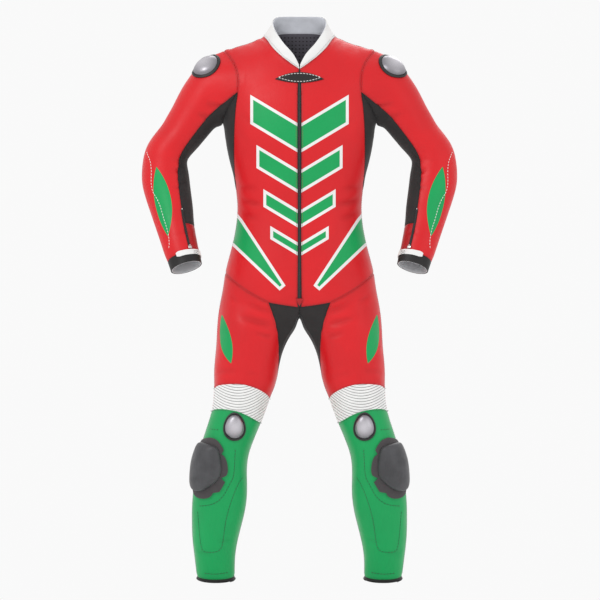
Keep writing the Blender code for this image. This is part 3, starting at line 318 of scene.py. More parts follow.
def even_out_seams():
    """Slides the seams along the surface into even curves, and takes the leather with them."""
    count = len(SKIN)
    reverse = np.array([owner_of.get((b, a), -1) for a, b in all_edges.tolist()])
    between_panels = (reverse >= 0) & (SKIN_PANELS[reverse] != SKIN_PANELS[all_owners])
    seams = np.unique(np.sort(all_edges[between_panels], axis=1), axis=0)
    every = np.unique(np.sort(all_edges, axis=1), axis=0)
    meeting = np.bincount(seams.ravel(), minlength=count)
    held = np.zeros(count, bool)
    held[all_edges[reverse < 0].ravel()] = True
    held |= (meeting > 0) & (meeting != 2)
    moving = (meeting == 2) & ~held
    slid = SKIN.copy()
    for _ in range(SEAM_PASSES * 4**SHELL_LEVEL):
        slid[moving] = (0.5 * slid + 0.5 * averaged(slid, seams, count))[moving]
    shift = slid - SKIN
    shift -= SKIN_OUT * (shift * SKIN_OUT).sum(axis=1, keepdims=True)
    shift[~moving] = 0.0
    fixed = held | moving
    for _ in range(SPREAD_PASSES * 2**SHELL_LEVEL):
        shift[~fixed] = (SPREAD_FADE * averaged(shift, every, count))[~fixed]
    SKIN[:] = SKIN + shift


def distance_to(points, others):
    """How far each point is from the nearest of some others."""
    nearest = np.full(len(points), 1.0)
    for first in range(0, len(others), AT_ONCE):
        gaps = points[:, None, :] - others[None, first : first + AT_ONCE, :]
        nearest = np.minimum(nearest, np.sqrt((gaps**2).sum(axis=2)).min(axis=1))
    return nearest


even_out_seams()


def store(mesh, name, values):
    mesh.attributes.new(name, "FLOAT", "POINT").data.foreach_set("value", values.astype(np.float32))


def finished(piece, name, *materials):
    """Puts a piece in the place of its CAD node."""
    for material in materials:
        piece.data.materials.append(material)
    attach(piece, "root")
    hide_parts(name)


def cut_panel(name, material, inside):
    """A closed wall from one panel's share of the shell."""
    number = panel_names.index(name)
    wall = WALLS[kind_of(name)]
    used, faces = np.unique(SKIN_FACES[SKIN_PANELS == number], return_inverse=True)
    faces = faces.reshape(-1, SKIN_FACES.shape[1])
    points, out = SKIN[used].copy(), SKIN_OUT[used]
    pulls = np.zeros_like(points)
    sewn = np.zeros(len(points), bool)
    steps = {}
    for i, j in edges_of(faces)[0].tolist():
        other = owner_of.get((used[j], used[i]))
        if other is not None and SKIN_PANELS[other] == number:
            continue
        inwards = np.cross(out[i] + out[j], points[j] - points[i])
        inwards /= max(np.linalg.norm(inwards), 1e-9)
        pulls[[i, j]] += inwards
        sewn[[i, j]] |= other is not None
        steps[i] = (j, panel_names[SKIN_PANELS[other]] if other is not None else "")
    pulls /= np.maximum(np.linalg.norm(pulls, axis=1, keepdims=True), 1e-6)
    RIMS[name] = Rim(points.copy(), pulls, out, steps)
    from_seam = distance_to(points, points[sewn]) if sewn.any() else np.full(len(points), 1.0)
    points += pulls * SEAM_GAP - out * SEAM_DIP * sewn[:, None]
    count = len(points)
    quads = [tuple(face) for face in faces.tolist()]
    quads += [tuple(count + i for i in reversed(face)) for face in faces.tolist()]
    quads += [(j, i, count + i, count + j) for i, (j, _) in steps.items()]
    mesh = bpy.data.meshes.new(f"{name}_cloth")
    mesh.from_pydata(np.concatenate([points, points - out * wall]).tolist(), [], quads)
    mesh.polygons.foreach_set("material_index", [0] * len(faces) + [1] * len(faces) + [0] * len(steps))
    # Nearness to a seam, which darkens the colour there as painted shade with some dirt.
    store(mesh, "seam", np.tile(np.exp(-from_seam / SEAM_REACH), 2))
    # The crease depth, which the leather's colour reads for painted shade in troughs and a painted highlight
    # on ridges.
    store(mesh, "crease", np.tile(SKIN_CREASE[used], 2))
    mesh.shade_smooth()
    mesh.set_sharp_from_angle(angle=math.radians(55))
    panel = added(f"{name}_cloth", mesh)
    finished(panel, name, material, inside)
    return panel


# ---------------------------------------------------------------- leather
# Cowhide 2.2 mm thick, dyed through and finished with a thin semi-matte coat. Its grain is a pebble of about
# 1.5 mm with finer pores. Its colour carries painted shade in the creases' troughs and along the seams (there
# with some dirt), and a painted highlight on the creases' raised sides.

WHITE = (0.83, 0.83, 0.82)
RED = (0.67, 0.007, 0.012)
GREEN = (0.0, 0.35, 0.092)
INLAY_EDGE = 7.5  # mm of white leather round each green inlay
INLAY_BLUR = 0.3  # mm to each side of an inlay's edge
GREY_RANGE = (0.3, 0.7)  # where nearly all of a noise's values lie


def feed(tree, node, inputs):
    """Sets a node's inputs to values, or links them to sockets."""
    for name, value in inputs.items():
        socket = node.inputs[name]
        if isinstance(value, bpy.types.NodeSocket):
            tree.links.new(value, socket)
        else:
            socket.default_value = (*value, 1) if socket.type == "RGBA" else value
    return node


def node_of(tree, kind, settings, inputs):
    """A shader node with its settings and inputs."""
    node = tree.nodes.new(f"ShaderNode{kind}")
    for name, value in settings.items():
        setattr(node, name, value)
    return feed(tree, node, inputs)


def maths(tree, operation, first, second=0.0, third=0.0):
    """One sum on two or three values or sockets."""
    return node_of(tree, "Math", {"operation": operation}, {0: first, 1: second, 2: third}).outputs[0]


def vectors(tree, operation, *inputs, output=0):
    """One sum on vectors or colours; output 1 holds a result that is a number."""
    return node_of(tree, "VectorMath", {"operation": operation}, dict(enumerate(inputs))).outputs[output]


def scaled(tree, vector, share):
    """A vector or colour times a number."""
    return node_of(tree, "VectorMath", {"operation": "SCALE"}, {0: vector, "Scale": share}).outputs[0]


def between(tree, value, low, high, at_low, at_high):
    """A value mapped from one range onto another, and held at its ends."""
    inputs = {"Value": value, "From Min": low, "From Max": high, "To Min": at_low, "To Max": at_high}
    return node_of(tree, "MapRange", {}, inputs).outputs["Result"]


def noise(tree, place, scale, detail=2.0):
    return node_of(tree, "TexNoise", {}, {"Vector": place, "Scale": scale, "Detail": detail}).outputs["Fac"]


def varied(tree, place, scale, detail, low, high):
    """A value that wanders between two others from place to place."""
    return between(tree, noise(tree, place, scale, detail), *GREY_RANGE, low, high)


def cells(tree, place, scale, feature="F1", randomness=1.0):
    inputs = {"Vector": place, "Scale": scale, "Randomness": randomness}
    return node_of(tree, "TexVoronoi", {"feature": feature}, inputs).outputs["Distance"]


def waves(tree, place, way, scale, distortion=0.0):
    settings = {"wave_type": "BANDS", "bands_direction": way}
    inputs = {"Vector": place, "Scale": scale, "Distortion": distortion}
    return node_of(tree, "TexWave", settings, inputs).outputs["Fac"]


def attribute(tree, name):
    return node_of(tree, "Attribute", {"attribute_name": name}, {}).outputs["Fac"]


def bumped(tree, strength, distance, height, **under):
    """A normal that a height tilts; under may give the Normal of a wider bump."""
    inputs = {"Strength": strength, "Distance": distance, "Height": height, **under}
    return node_of(tree, "Bump", {}, inputs).outputs[0]


def blend(tree, share, first, second):
    """A colour between two, by a share from 0 to 1."""
    return node_of(tree, "Mix", {"data_type": "RGBA"}, {0: share, 6: first, 7: second}).outputs[2]


def new_material(name):
    """A material with its tree and the place on the object that it colours."""
    material = bpy.data.materials.new(name)
    material.use_nodes = True
    tree = material.node_tree
    return material, tree, node_of(tree, "TexCoord", {}, {}).outputs["Object"]


def coated(material, inputs):
    """A material whose own shader has some inputs set or linked."""
    feed(material.node_tree, material.node_tree.nodes["Principled BSDF"], inputs)
    return material


def leather(name, colour, roughness=0.42, inlay=None):
    """Pebbled leather; inlay(tree, place, colour) may set other leathers into it."""
    material, tree, place = new_material(name)
    base = inlay(tree, place, colour) if inlay else colour
    seam = attribute(tree, "seam")
    tone_and_shade = varied(tree, place, 9.0, 3.0, 0.94, 1.04)
    # Painted shade along the seams, with some dirt: the colour darkens to 0.82 at a seam.
    tone_and_shade = maths(tree, "MULTIPLY", tone_and_shade, between(tree, seam, 0.0, 1.0, 1.0, 0.82))
    # Painted shade in the creases' troughs and a painted highlight on their raised sides.
    tone_and_shade = maths(tree, "MULTIPLY", tone_and_shade, between(tree, attribute(tree, "crease"), -1.0, 0.6, 0.82, 1.05))
    pebbles = cells(tree, place, 640.0, "SMOOTH_F1")
    grain = maths(tree, "MULTIPLY_ADD", noise(tree, place, 1500.0), 0.35, pebbles)
    bent = node_of(tree, "TexNoise", {}, {"Vector": place, "Scale": 38.0, "Detail": 3.0}).outputs["Color"]
    bent = vectors(tree, "MULTIPLY_ADD", bent, (0.02,) * 3, place)
    veins = between(tree, cells(tree, bent, 74.0, "DISTANCE_TO_EDGE"), 0.0, 0.09, 0.0, 0.2)
    pucker = maths(tree, "MULTIPLY", noise(tree, place, 75.0, 1.0), seam)
    pucker = maths(tree, "ADD", pucker, maths(tree, "MULTIPLY", noise(tree, place, 24.0), 0.5))
    wide = bumped(tree, 0.5, 0.0012, maths(tree, "ADD", veins, pucker))
    inputs = {
        "Base Color": scaled(tree, base, tone_and_shade),
        "Roughness": varied(tree, place, 22.0, 4.0, roughness - 0.06, roughness + 0.08),
        "Normal": bumped(tree, 0.3, 0.00025, grain, Normal=wide),
        "Specular IOR Level": 0.3,
        "Coat Weight": 0.08,
        "Coat Roughness": 0.34,
    }
    return coated(material, inputs)


def in_millimetres(tree, place):
    """How far a point lies from the suit's middle plane, and its depth and height."""
    parts = node_of(tree, "SeparateXYZ", {}, {0: place})
    x, y, z = (maths(tree, "MULTIPLY", parts.outputs[k], 1000.0) for k in range(3))
    return maths(tree, "ABSOLUTE", x), y, z


def within(tree, depth, edge=0.0):
    """1 where a depth, in mm, is below an edge, and else 0."""
    return between(tree, depth, edge - INLAY_BLUR, edge + INLAY_BLUR, 1.0, 0.0)


def inlaid(tree, depth, colour):
    """Green leather with a white edge wherever depth, in mm, is below nought."""
    edged = blend(tree, within(tree, depth), colour, WHITE)
    return blend(tree, within(tree, depth, -INLAY_EDGE), edged, GREEN)


Chevron = namedtuple("Chevron", "point thickness half_width")
CHEVRONS = [  # mm: height of the point on the zip, upright thickness, reach to each side
    Chevron(-300, 76, 128),
    Chevron(-405, 60, 112),
    Chevron(-495, 46, 94),
    Chevron(-568, 34, 76),
]
CHEVRON_SLOPE = 0.6
Wedge = namedtuple("Wedge", "x z")
WEDGE_START = Wedge(176.0, -492.0)  # at the side of the waist
WEDGE_END = Wedge(44.0, -650.0)  # low beside the zip
WEDGE_HALF_START = 34.0
WEDGE_HALF_END = 10.0


def chest_inlay(tree, place, colour):
    """Four green chevrons down the chest, and a straight green wedge over each hip."""
    x, _, z = in_millimetres(tree, place)
    across = math.hypot(1.0, CHEVRON_SLOPE)
    depth = 1000.0
    for chevron in CHEVRONS:
        middle = chevron.point + chevron.thickness / 2
        rise = maths(tree, "MULTIPLY_ADD", x, -CHEVRON_SLOPE, z)
        off = maths(tree, "ABSOLUTE", maths(tree, "SUBTRACT", rise, middle))
        off = maths(tree, "DIVIDE", maths(tree, "SUBTRACT", off, chevron.thickness / 2), across)
        band = maths(tree, "MAXIMUM", off, maths(tree, "SUBTRACT", x, chevron.half_width))
        depth = maths(tree, "MINIMUM", band, depth)
    run = np.array([WEDGE_END.x - WEDGE_START.x, WEDGE_END.z - WEDGE_START.z])
    length = float(np.linalg.norm(run))
    ux, uz = run / length
    dx = maths(tree, "SUBTRACT", x, WEDGE_START.x)
    dz = maths(tree, "SUBTRACT", z, WEDGE_START.z)
    along = maths(tree, "MULTIPLY_ADD", dx, float(ux), maths(tree, "MULTIPLY", dz, float(uz)))
    aside = maths(tree, "MULTIPLY_ADD", dx, float(-uz), maths(tree, "MULTIPLY", dz, float(ux)))
    half = between(tree, along, 0.0, length, WEDGE_HALF_START, WEDGE_HALF_END)
    wedge = maths(tree, "SUBTRACT", maths(tree, "ABSOLUTE", aside), half)
    wedge = maths(tree, "MAXIMUM", wedge, maths(tree, "SUBTRACT", along, length))
    depth = maths(tree, "MINIMUM", wedge, depth)
    return inlaid(tree, depth, colour)


def patch_inlay(top, foot, half_width):
    """A plain green patch, pointed at both ends, along a line on a limb."""

    def lay(tree, place, colour):
        x, y, z = in_millimetres(tree, place)
        here = node_of(tree, "CombineXYZ", {}, {0: x, 1: y, 2: z}).outputs[0]
        run = Vector(foot) - Vector(top)
        away = vectors(tree, "SUBTRACT", here, top)
        dot = vectors(tree, "DOT_PRODUCT", away, run / run.length_squared, output=1)
        share = node_of(tree, "Clamp", {}, {0: dot}).outputs[0]
        off = vectors(tree, "DISTANCE", away, scaled(tree, run, share), output=1)
        ends = maths(tree, "MULTIPLY_ADD", share, 2.0, -1.0)
        width = maths(tree, "MULTIPLY_ADD", maths(tree, "MULTIPLY", ends, ends), -half_width, half_width)
        return blend(tree, within(tree, maths(tree, "SUBTRACT", off, width)), colour, GREEN)

    return lay


def lining_mesh():
    """The charcoal mesh lining on the inside of every panel, with fine round holes."""
    material, tree, place = new_material("mesh_lining")
    share = between(tree, cells(tree, place, 420.0, randomness=0.15), 0.25, 0.4, 0.0, 1.0)
    colour = blend(tree, share, (0.012, 0.011, 0.012), (0.06, 0.055, 0.06))
    normal = bumped(tree, 0.4, 0.0003, share)
    return coated(material, {"Base Color": colour, "Roughness": 0.9, "Normal": normal})


PANEL_LEATHERS = {
    "front": leather("red_leather_inlaid", RED, inlay=chest_inlay),
    "back": leather("red_leather", RED),
    "sleeve": leather("sleeve_leather", RED, inlay=patch_inlay((372, -61, -334), (342, -107, -516), 24.0)),
    "thigh_front": leather("thigh_leather", RED, inlay=patch_inlay((205, -40, -716), (178, -87, -846), 22.0)),
    "shin_front": leather("green_leather", GREEN),
    "cuff_gusset": leather("crimson_leather", (0.42, 0.010, 0.014)),
    "cuff_band": leather("black_leather", (0.013, 0.012, 0.012), roughness=0.5),
}
PANEL_LEATHERS["thigh_back"] = PANEL_LEATHERS["back"]
PANEL_LEATHERS["shin_back"] = PANEL_LEATHERS["shin_front"]
Cut = namedtuple("Cut", "width length area")  # a flat piece before sewing, in metres
LEATHER_CUTS = {
    "front": Cut(0.25, 0.72, 0.131),
    "back": Cut(0.52, 0.73, 0.276),
    "sleeve": Cut(0.34, 0.59, 0.150),
    "thigh_front": Cut(0.27, 0.34, 0.061),
    "thigh_back": Cut(0.27, 0.40, 0.080),
    "shin_front": Cut(0.23, 0.46, 0.089),
    "shin_back": Cut(0.23, 0.44, 0.084),
    "cuff_gusset": Cut(0.10, 0.08, 0.0072),
    "cuff_band": Cut(0.255, 0.03, 0.0071),
}


def sheet_of(piece):
    """Returns a piece as it is."""
    return piece


lining_side = lining_mesh()
for name in panel_names:
    if kind_of(name) in LEATHER_CUTS:
        panel = cut_panel(name, PANEL_LEATHERS[kind_of(name)], lining_side)
        sheet_of(panel)

# ---------------------------------------------------------------- stretch panels
# Knitted aramid stretch fabric, charcoal, in the side panels, along the underarms and through
# the crotch. Fine ribs run across it, and it has a soft nap.

STRETCH_CUTS = {
    "side_panel": Cut(0.155, 0.26, 0.0243),
    "underarm": Cut(0.14, 0.41, 0.0433),
    "crotch_gusset": Cut(0.55, 0.20, 0.055),
}


def stretch_fabric():
    material, tree, place = new_material("stretch_fabric")
    tone_and_shade = varied(tree, place, 30.0, 4.0, 0.85, 1.15)
    # Painted shade along the seams, with some dirt: the knit darkens to 0.6 at a seam.
    tone_and_shade = maths(tree, "MULTIPLY", tone_and_shade, between(tree, attribute(tree, "seam"), 0.0, 1.0, 1.0, 0.6))
    ribs = waves(tree, place, "Z", 110.0, 0.6)
    height = maths(tree, "MULTIPLY_ADD", waves(tree, place, "X", 260.0), 0.4, ribs)
    inputs = {
        "Base Color": scaled(tree, (0.017, 0.015, 0.015), tone_and_shade),
        "Roughness": 0.82,
        "Sheen Weight": 0.12,
        "Sheen Roughness": 0.4,
        "Normal": bumped(tree, 0.4, 0.0005, height),
    }
    return coated(material, inputs)


knit = stretch_fabric()
for name in panel_names:
    if kind_of(name) in STRETCH_CUTS:
        sheet_of(cut_panel(name, knit, lining_side))

# ---------------------------------------------------------------- accordion
# White leather over the knee, gathered into narrow ribs on elastic so that the knee can bend.
# The ribs hang in curves from both sides of the leg, with painted shade in dark grey lines along the grooves
# between them.

RIB_PITCH = 7.3  # mm
RIB_MIDDLE = 159.0  # mm from the suit's middle plane, where each rib hangs lowest
RIB_SAG = 0.0062  # per mm
GROOVE = 0.085  # half the width of a groove, as a share of the pitch
RIB_RISE = 0.0012
GROOVE_DEPTH = 0.0021
LONG_EDGE = 0.0011  # an edge that is cut across before the ribs are raised
RIB_PASSES = 6
SEAM_FADE = 3.0  # how fast the ribs rise away from a seam


def ribbed_leather():
    material, tree, place = new_material("ribbed_leather")
    x, _, z = in_millimetres(tree, place)
    aside = maths(tree, "SUBTRACT", x, RIB_MIDDLE)
    hang = maths(tree, "MULTIPLY_ADD", maths(tree, "MULTIPLY", aside, aside), -RIB_SAG, z)
    share = maths(tree, "FRACT", maths(tree, "DIVIDE", hang, RIB_PITCH))
    off = maths(tree, "ABSOLUTE", maths(tree, "SUBTRACT", share, 0.5))
    # Painted shade: thin dark grey lines in the grooves between the ribs.
    groove = between(tree, off, GROOVE * 0.5, GROOVE * 1.3, 1.0, 0.0)
    white = scaled(tree, WHITE, varied(tree, place, 40.0, 3.0, 0.95, 1.03))
    colour = blend(tree, groove, white, (0.085, 0.085, 0.09))
    normal = bumped(tree, 0.25, 0.0002, cells(tree, place, 800.0))
    return coated(material, {"Base Color": colour, "Roughness": 0.46, "Normal": normal})


def smooth_panel(name):
    """Evens out one panel's share of the shell, with its edge held."""
    faces = SKIN_FACES[SKIN_PANELS == panel_names.index(name)]
    used, local = np.unique(faces, return_inverse=True)
    links = edges_of(local.reshape(faces.shape))[0]
    loose = links[[owner_of.get((used[j], used[i]), -1) not in OWN_FACES[name] for i, j in links]]
    level = SKIN[used]
    edge = np.unique(loose)
    for _ in range(RIB_PASSES * 4**SHELL_LEVEL // 8):
        level = averaged(level, links, len(used))
        level[edge] = SKIN[used][edge]
    SKIN[used] = level
    corners = level[local.reshape(faces.shape)]
    facing = np.cross(corners[:, 2] - corners[:, 0], corners[:, 3] - corners[:, 1])
    totals = np.stack([np.bincount(local.ravel(), np.repeat(facing[:, k], 4)) for k in range(3)], axis=1)
    SKIN_OUT[used] = totals / np.linalg.norm(totals, axis=1, keepdims=True)


def raise_ribs(panel):
    """Raises the ribs on the outer side, where long faces are first cut across."""
    wall = bmesh.new()
    wall.from_mesh(panel.data)
    across = {e for f in wall.faces if f.material_index == 0 for e in f.edges}
    across -= {e for f in wall.faces if f.material_index == 1 for e in f.edges}
    half = len(wall.verts) // 2
    long = [e for e in across if e.calc_length() > LONG_EDGE and len({v.index < half for v in e.verts}) == 1]
    bmesh.ops.subdivide_edges(wall, edges=long, cuts=1, use_grid_fill=True)
    wall.normal_update()
    seam = wall.verts.layers.float["seam"]
    for point in wall.verts:
        if any(f.material_index == 1 for f in point.link_faces):
            continue
        x, z = abs(point.co.x) * 1000, point.co.z * 1000
        hang = (z - RIB_SAG * (x - RIB_MIDDLE) ** 2) / RIB_PITCH
        off = abs(hang - math.floor(hang) - 0.5)
        rise = RIB_RISE - GROOVE_DEPTH * math.exp(-((off / (2 * GROOVE)) ** 2))
        point.co += point.normal * rise * min(1.0, SEAM_FADE * (1.0 - point[seam]) ** 2)
    wall.to_mesh(panel.data)
    wall.free()
    panel.data.shade_smooth()
    panel.data.set_sharp_from_angle(angle=math.radians(75))


OWN_FACES = {name: set(np.nonzero(SKIN_PANELS == k)[0].tolist()) for k, name in enumerate(panel_names)}
ribbed = ribbed_leather()
for name in panel_names:
    if kind_of(name) == "accordion":
        smooth_panel(name)
        panel = cut_panel(name, ribbed, lining_side)
        raise_ribs(panel)
        sheet_of(panel)

# ---------------------------------------------------------------- collar
# A stand-up collar of soft white leather round foam, 3 mm in all, faced with grey knit where
# it touches the neck. Below it, dark mesh with rows of holes lines the back of the neck.

HOLE_PITCH = 9.5  # mm
HOLE_RADIUS = 2.2
HOLE_DEPTH = 0.007
HOLE_EDGE = 0.0038  # the least cloth from a hole's middle to the cloth's edge
HOLE_CORNERS = ((-1, -1), (-1, 1), (1, -1), (1, 1))
HOLE_FACING = 0.55  # how squarely the cloth has to face the front where it is punched
RAY_START = -0.6
RAY_REACH = 1.2


def facing_knit(name, colour, roughness, sheen):
    """Smooth cloth with a fine and fairly even grain."""
    material, tree, place = new_material(name)
    inputs = {
        "Base Color": scaled(tree, colour, varied(tree, place, 60.0, 4.0, 0.93, 1.05)),
        "Roughness": roughness,
        "Sheen Weight": sheen,
        "Normal": bumped(tree, 0.35, 0.0003, cells(tree, place, 900.0, randomness=0.4)),
    }
    return coated(material, inputs)


def select_only(piece):
    bpy.ops.object.select_all(action="DESELECT")
    piece.select_set(True)
    bpy.context.view_layer.objects.active = piece


def applied(piece, kind, **settings):
    """Puts a modifier on a piece and makes it part of its mesh."""
    select_only(piece)
    modifier = piece.modifiers.new(kind.capitalize(), kind)
    for name, value in settings.items():
        setattr(modifier, name, value)
    bpy.ops.object.modifier_apply(modifier=modifier.name)


def refined(name, level=2, sharp=46.0, edge=0.0004):
    """A CAD piece with its facets rounded and its sharp edges kept, and broken a little."""
    body = bmesh.new()
    body.from_mesh(nodes[name].data)
    bmesh.ops.remove_doubles(body, verts=body.verts, dist=MERGE)
    in_quads(body, 35)
    kept = body.edges.layers.float.new("crease_edge")
    for line in body.edges:
        line[kept] = float(line.calc_face_angle(0.0) > math.radians(sharp))
    mesh = bpy.data.meshes.new(name)
    body.to_mesh(mesh)
    body.free()
    piece = added(f"{name}_made", mesh)
    piece.data = rounded(piece, level)
    piece.modifiers.clear()
    applied(piece, "BEVEL", width=edge, segments=2, limit_method="ANGLE", angle_limit=math.radians(sharp))
    piece.data.shade_smooth()
    piece.data.set_sharp_from_angle(angle=math.radians(60))
    piece.data.materials.clear()
    return piece


def made(name, material, **how):
    """A refined CAD piece with its finish, in its node's place."""
    piece = refined(name, **how)
    finished(piece, name, material)
    return piece


def points_of(piece):
    return np.array([w.co[:] for w in piece.data.vertices])


def tree_of(piece):
    """What rays are cast onto: one piece's surface."""
    corners = [w.co.copy() for w in piece.data.vertices]
    return BVHTree.FromPolygons(corners, [tuple(f.vertices) for f in piece.data.polygons])


def shape_of(piece):
    """The points and faces of a modelled piece, which is then taken away."""
    points, faces = points_of(piece), [tuple(f.vertices) for f in piece.data.polygons]
    bpy.data.objects.remove(piece)
    return points, faces


def strewn(name, shape, places, material):
    """One mesh with a copy of a shape at each place: its middle, its run and its outward way."""
    points, faces = shape
    middles, runs, outs = (np.array([place[k] for place in places], float) for k in range(3))
    runs -= outs * (runs * outs).sum(axis=1, keepdims=True)
    runs /= np.linalg.norm(runs, axis=1, keepdims=True)
    turns = np.stack([runs, np.cross(outs, runs), outs], axis=2)
    spread = middles[:, None, :] + np.einsum("kij,nj->kni", turns, points)
    copies = [tuple(k * len(points) + i for i in face) for k in range(len(places)) for face in faces]
    mesh = bpy.data.meshes.new(name)
    mesh.from_pydata(spread.reshape(-1, 3).tolist(), [], copies)
    mesh.shade_smooth()
    mesh.set_sharp_from_angle(angle=math.radians(50))
    mesh.materials.append(material)
    piece = added(name, mesh)
    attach(piece, "root")
    return piece


def from_front(tree, x, z):
    """Where a ray from the front lands on a surface, and its direction there."""
    hit, normal, _, _ = tree.ray_cast(Vector((x, RAY_START, z)), Vector((0, 1, 0)), RAY_REACH)
    return None if hit is None else (np.array(hit), np.array(normal))


def landings(spots):
    """The points and the directions of the rays that landed."""
    return [spot[0] for spot in spots if spot], [spot[1] for spot in spots if spot]


def cut_away(piece, tool):
    """Takes one piece's shape out of another."""
    applied(piece, "BOOLEAN", operation="DIFFERENCE", object=tool, solver="MANIFOLD")
    bpy.data.objects.remove(tool)


def punch(cloth, material):
    """Cuts the square grid of holes through a cloth that faces the front."""
    tree = tree_of(cloth)
    widths, _, heights = points_of(cloth).T * 1000 / HOLE_PITCH
    reach = math.ceil(abs(widths).max())
    places = []
    for column in range(-reach, reach + 1):
        for row in range(math.floor(heights.min()), math.ceil(heights.max()) + 1):
            x, z = column * HOLE_PITCH / 1000, row * HOLE_PITCH / 1000
            spot = from_front(tree, x, z)
            round_it = [from_front(tree, x + a * HOLE_EDGE, z + b * HOLE_EDGE) for a, b in HOLE_CORNERS]
            if spot and all(round_it) and spot[1][1] < -HOLE_FACING:
                if max(abs(near[0][1] - spot[0][1]) for near in round_it) < 2 * HOLE_EDGE:
                    places.append((spot[0], (1.0, 0.0, 0.0), spot[1]))
    bpy.ops.mesh.primitive_cylinder_add(vertices=10, radius=HOLE_RADIUS / 1000, depth=HOLE_DEPTH)
    cut_away(cloth, strewn("punched_holes", shape_of(bpy.context.object), places, material))
    cloth.data.shade_smooth()
    cloth.data.set_sharp_from_angle(angle=math.radians(30))


white_leather = leather("white_leather", WHITE, roughness=0.4)
sheet_of(cut_panel("collar", white_leather, lining_side))
grey_knit = facing_knit("facing_knit", (0.66, 0.675, 0.73), 0.8, 0.2)
sheet_of(made("collar_facing", grey_knit, edge=0.0003))
charcoal_mesh = facing_knit("charcoal_mesh", (0.17, 0.16, 0.19), 0.85, 0.1)
neck_lining = refined("neck_lining", edge=0.0003)
punch(neck_lining, charcoal_mesh)
neck_lining.data.materials.clear()
finished(neck_lining, "neck_lining", charcoal_mesh)
sheet_of(neck_lining)

# ---------------------------------------------------------------- main zip
# A coarse moulded zip runs from the collar to the crotch on two woven black tapes. Its slider
# is under the throat patch, a lens of black leather with a light edge stitch, and a crimson
# leather triangle is sewn over its foot.

TOOTH_PITCH = 0.00225
TOOTH_SIZE = (0.0030, 0.0016, 0.0012)
ZIP_RUNS = ((-0.0825, -0.0885), (-0.1175, -0.6765))  # above and below the throat patch
ZIP_STEP = 0.006
TOOTH_LIFT = 0.0003
TOOTH_REACH = 0.3  # from the middle line, as a share of a tooth's length

skin_tree = BVHTree.FromPolygons([tuple(p) for p in SKIN], [tuple(f) for f in SKIN_FACES.tolist()])


def woven_black():
    material, tree, place = new_material("woven_black")
    normal = bumped(tree, 0.5, 0.0003, waves(tree, place, "Z", 420.0, 0.3))
    return coated(material, {"Base Color": (0.018, 0.017, 0.018), "Roughness": 0.75, "Normal": normal})


def plain(name, colour, roughness, metallic=0.0, marks=0.05):
    """A finish whose gloss varies a little from place to place."""
    material, tree, place = new_material(name)
    gloss = varied(tree, place, 70.0, 5.0, roughness - marks, roughness + marks)
    return coated(material, {"Base Color": colour, "Metallic": metallic, "Roughness": gloss})


def box(size):
    bpy.ops.mesh.primitive_cube_add(size=1)
    bpy.context.object.scale = size
    bpy.ops.object.transform_apply(location=False, rotation=False, scale=True)
    return bpy.context.object


def block_shape(size, edge, segments):
    """A box whose edges are broken."""
    block = box(size)
    applied(block, "BEVEL", width=edge, segments=segments)
    return shape_of(block)


def evenly(line, pitch):
    """Points along a line of points at an even pitch, and the way the line runs at each."""
    line = np.array(line, float)
    runs = np.diff(line, axis=0)
    lengths = np.linalg.norm(runs, axis=1)
    reached = np.concatenate([[0.0], np.cumsum(lengths)])
    count = max(int(reached[-1] / pitch), 1)
    at = (np.arange(count) + 0.5) * reached[-1] / count
    step = np.minimum(np.searchsorted(reached, at, side="right") - 1, len(lengths) - 1)
    ways = runs[step] / np.maximum(lengths[step], 1e-9)[:, None]
    return line[step] + ways * (at - reached[step])[:, None], ways


def nearest_to(line, points):
    """For each point, which of a line's points is nearest to it."""
    return [int(np.argmin(((np.array(line) - point) ** 2).sum(axis=1))) for point in points]


def landed(tree, points, inwards, reach=0.03, near=0.0025):
    """Where rays from just outside land on a surface, if near the points, and its direction."""
    found = []
    for point, inward in zip(points, inwards):
        inward = Vector(inward).normalized()
        hit, normal, _, _ = tree.ray_cast(Vector(point) - inward * reach / 2, inward, reach)
        if hit is None or (hit - Vector(point)).length > near:
            found.append(None)
            continue
        found.append((np.array(hit), np.array(normal if normal.dot(inward) < 0 else -normal)))
    return found


def zip_teeth(name, line, outs):
    """Teeth in two interlocking rows along a line."""
    points, ways = evenly(line, TOOTH_PITCH / 2)
    places = []
    for k, (point, way, near) in enumerate(zip(points, ways, nearest_to(line, points))):
        out = outs[near]
        across = np.cross(way, out)
        side = 1 if k % 2 else -1
        aside = across / np.linalg.norm(across) * side * TOOTH_SIZE[0] * TOOTH_REACH
        places.append((point + out * TOOTH_LIFT + aside, across * side, out))
    return strewn(name, block_shape(TOOTH_SIZE, edge=0.0003, segments=1), places, moulded_black)


tape_black = woven_black()
zip_tape = cut_panel("main_zip", tape_black, lining_side)
moulded_black = plain("moulded_black", (0.022, 0.021, 0.022), 0.34)
rows = []
for top, foot in ZIP_RUNS:
    heights = np.linspace(top, foot, max(int((top - foot) / ZIP_STEP), 2))
    line, outs = landings([from_front(skin_tree, 0.0, z) for z in heights])
    rows.append(zip_teeth(f"main_zip_teeth_{len(rows) + 1}", line, outs))
sheet_of(zip_tape)
black_leather = PANEL_LEATHERS["cuff_band"]
throat_patch = sheet_of(made("throat_patch", black_leather))
sheet_of(made("zip_end_tab", PANEL_LEATHERS["cuff_gusset"]))

# ---------------------------------------------------------------- forearm zips
# Each forearm opens by a short zip from the cuff up the seam beside the underarm strip. A
# small nickel slider is parked at the cuff, and nickel stops close both ends.

FOREARM_ZIP_SPOTS = 14
STOP_SIZE = (0.0045, 0.0024, 0.0015)
ARM_AXIS = (0.305, -0.060)  # a forearm's middle, from the suit's middle plane and in depth
PULL_SIZE = (0.0135, 0.0045, 0.0010)
PULL_HOLE = 0.0012
PULL_HOLE_AT = 0.26  # from the pull's middle, as a share of its length
PULL_LIFT = 0.0028


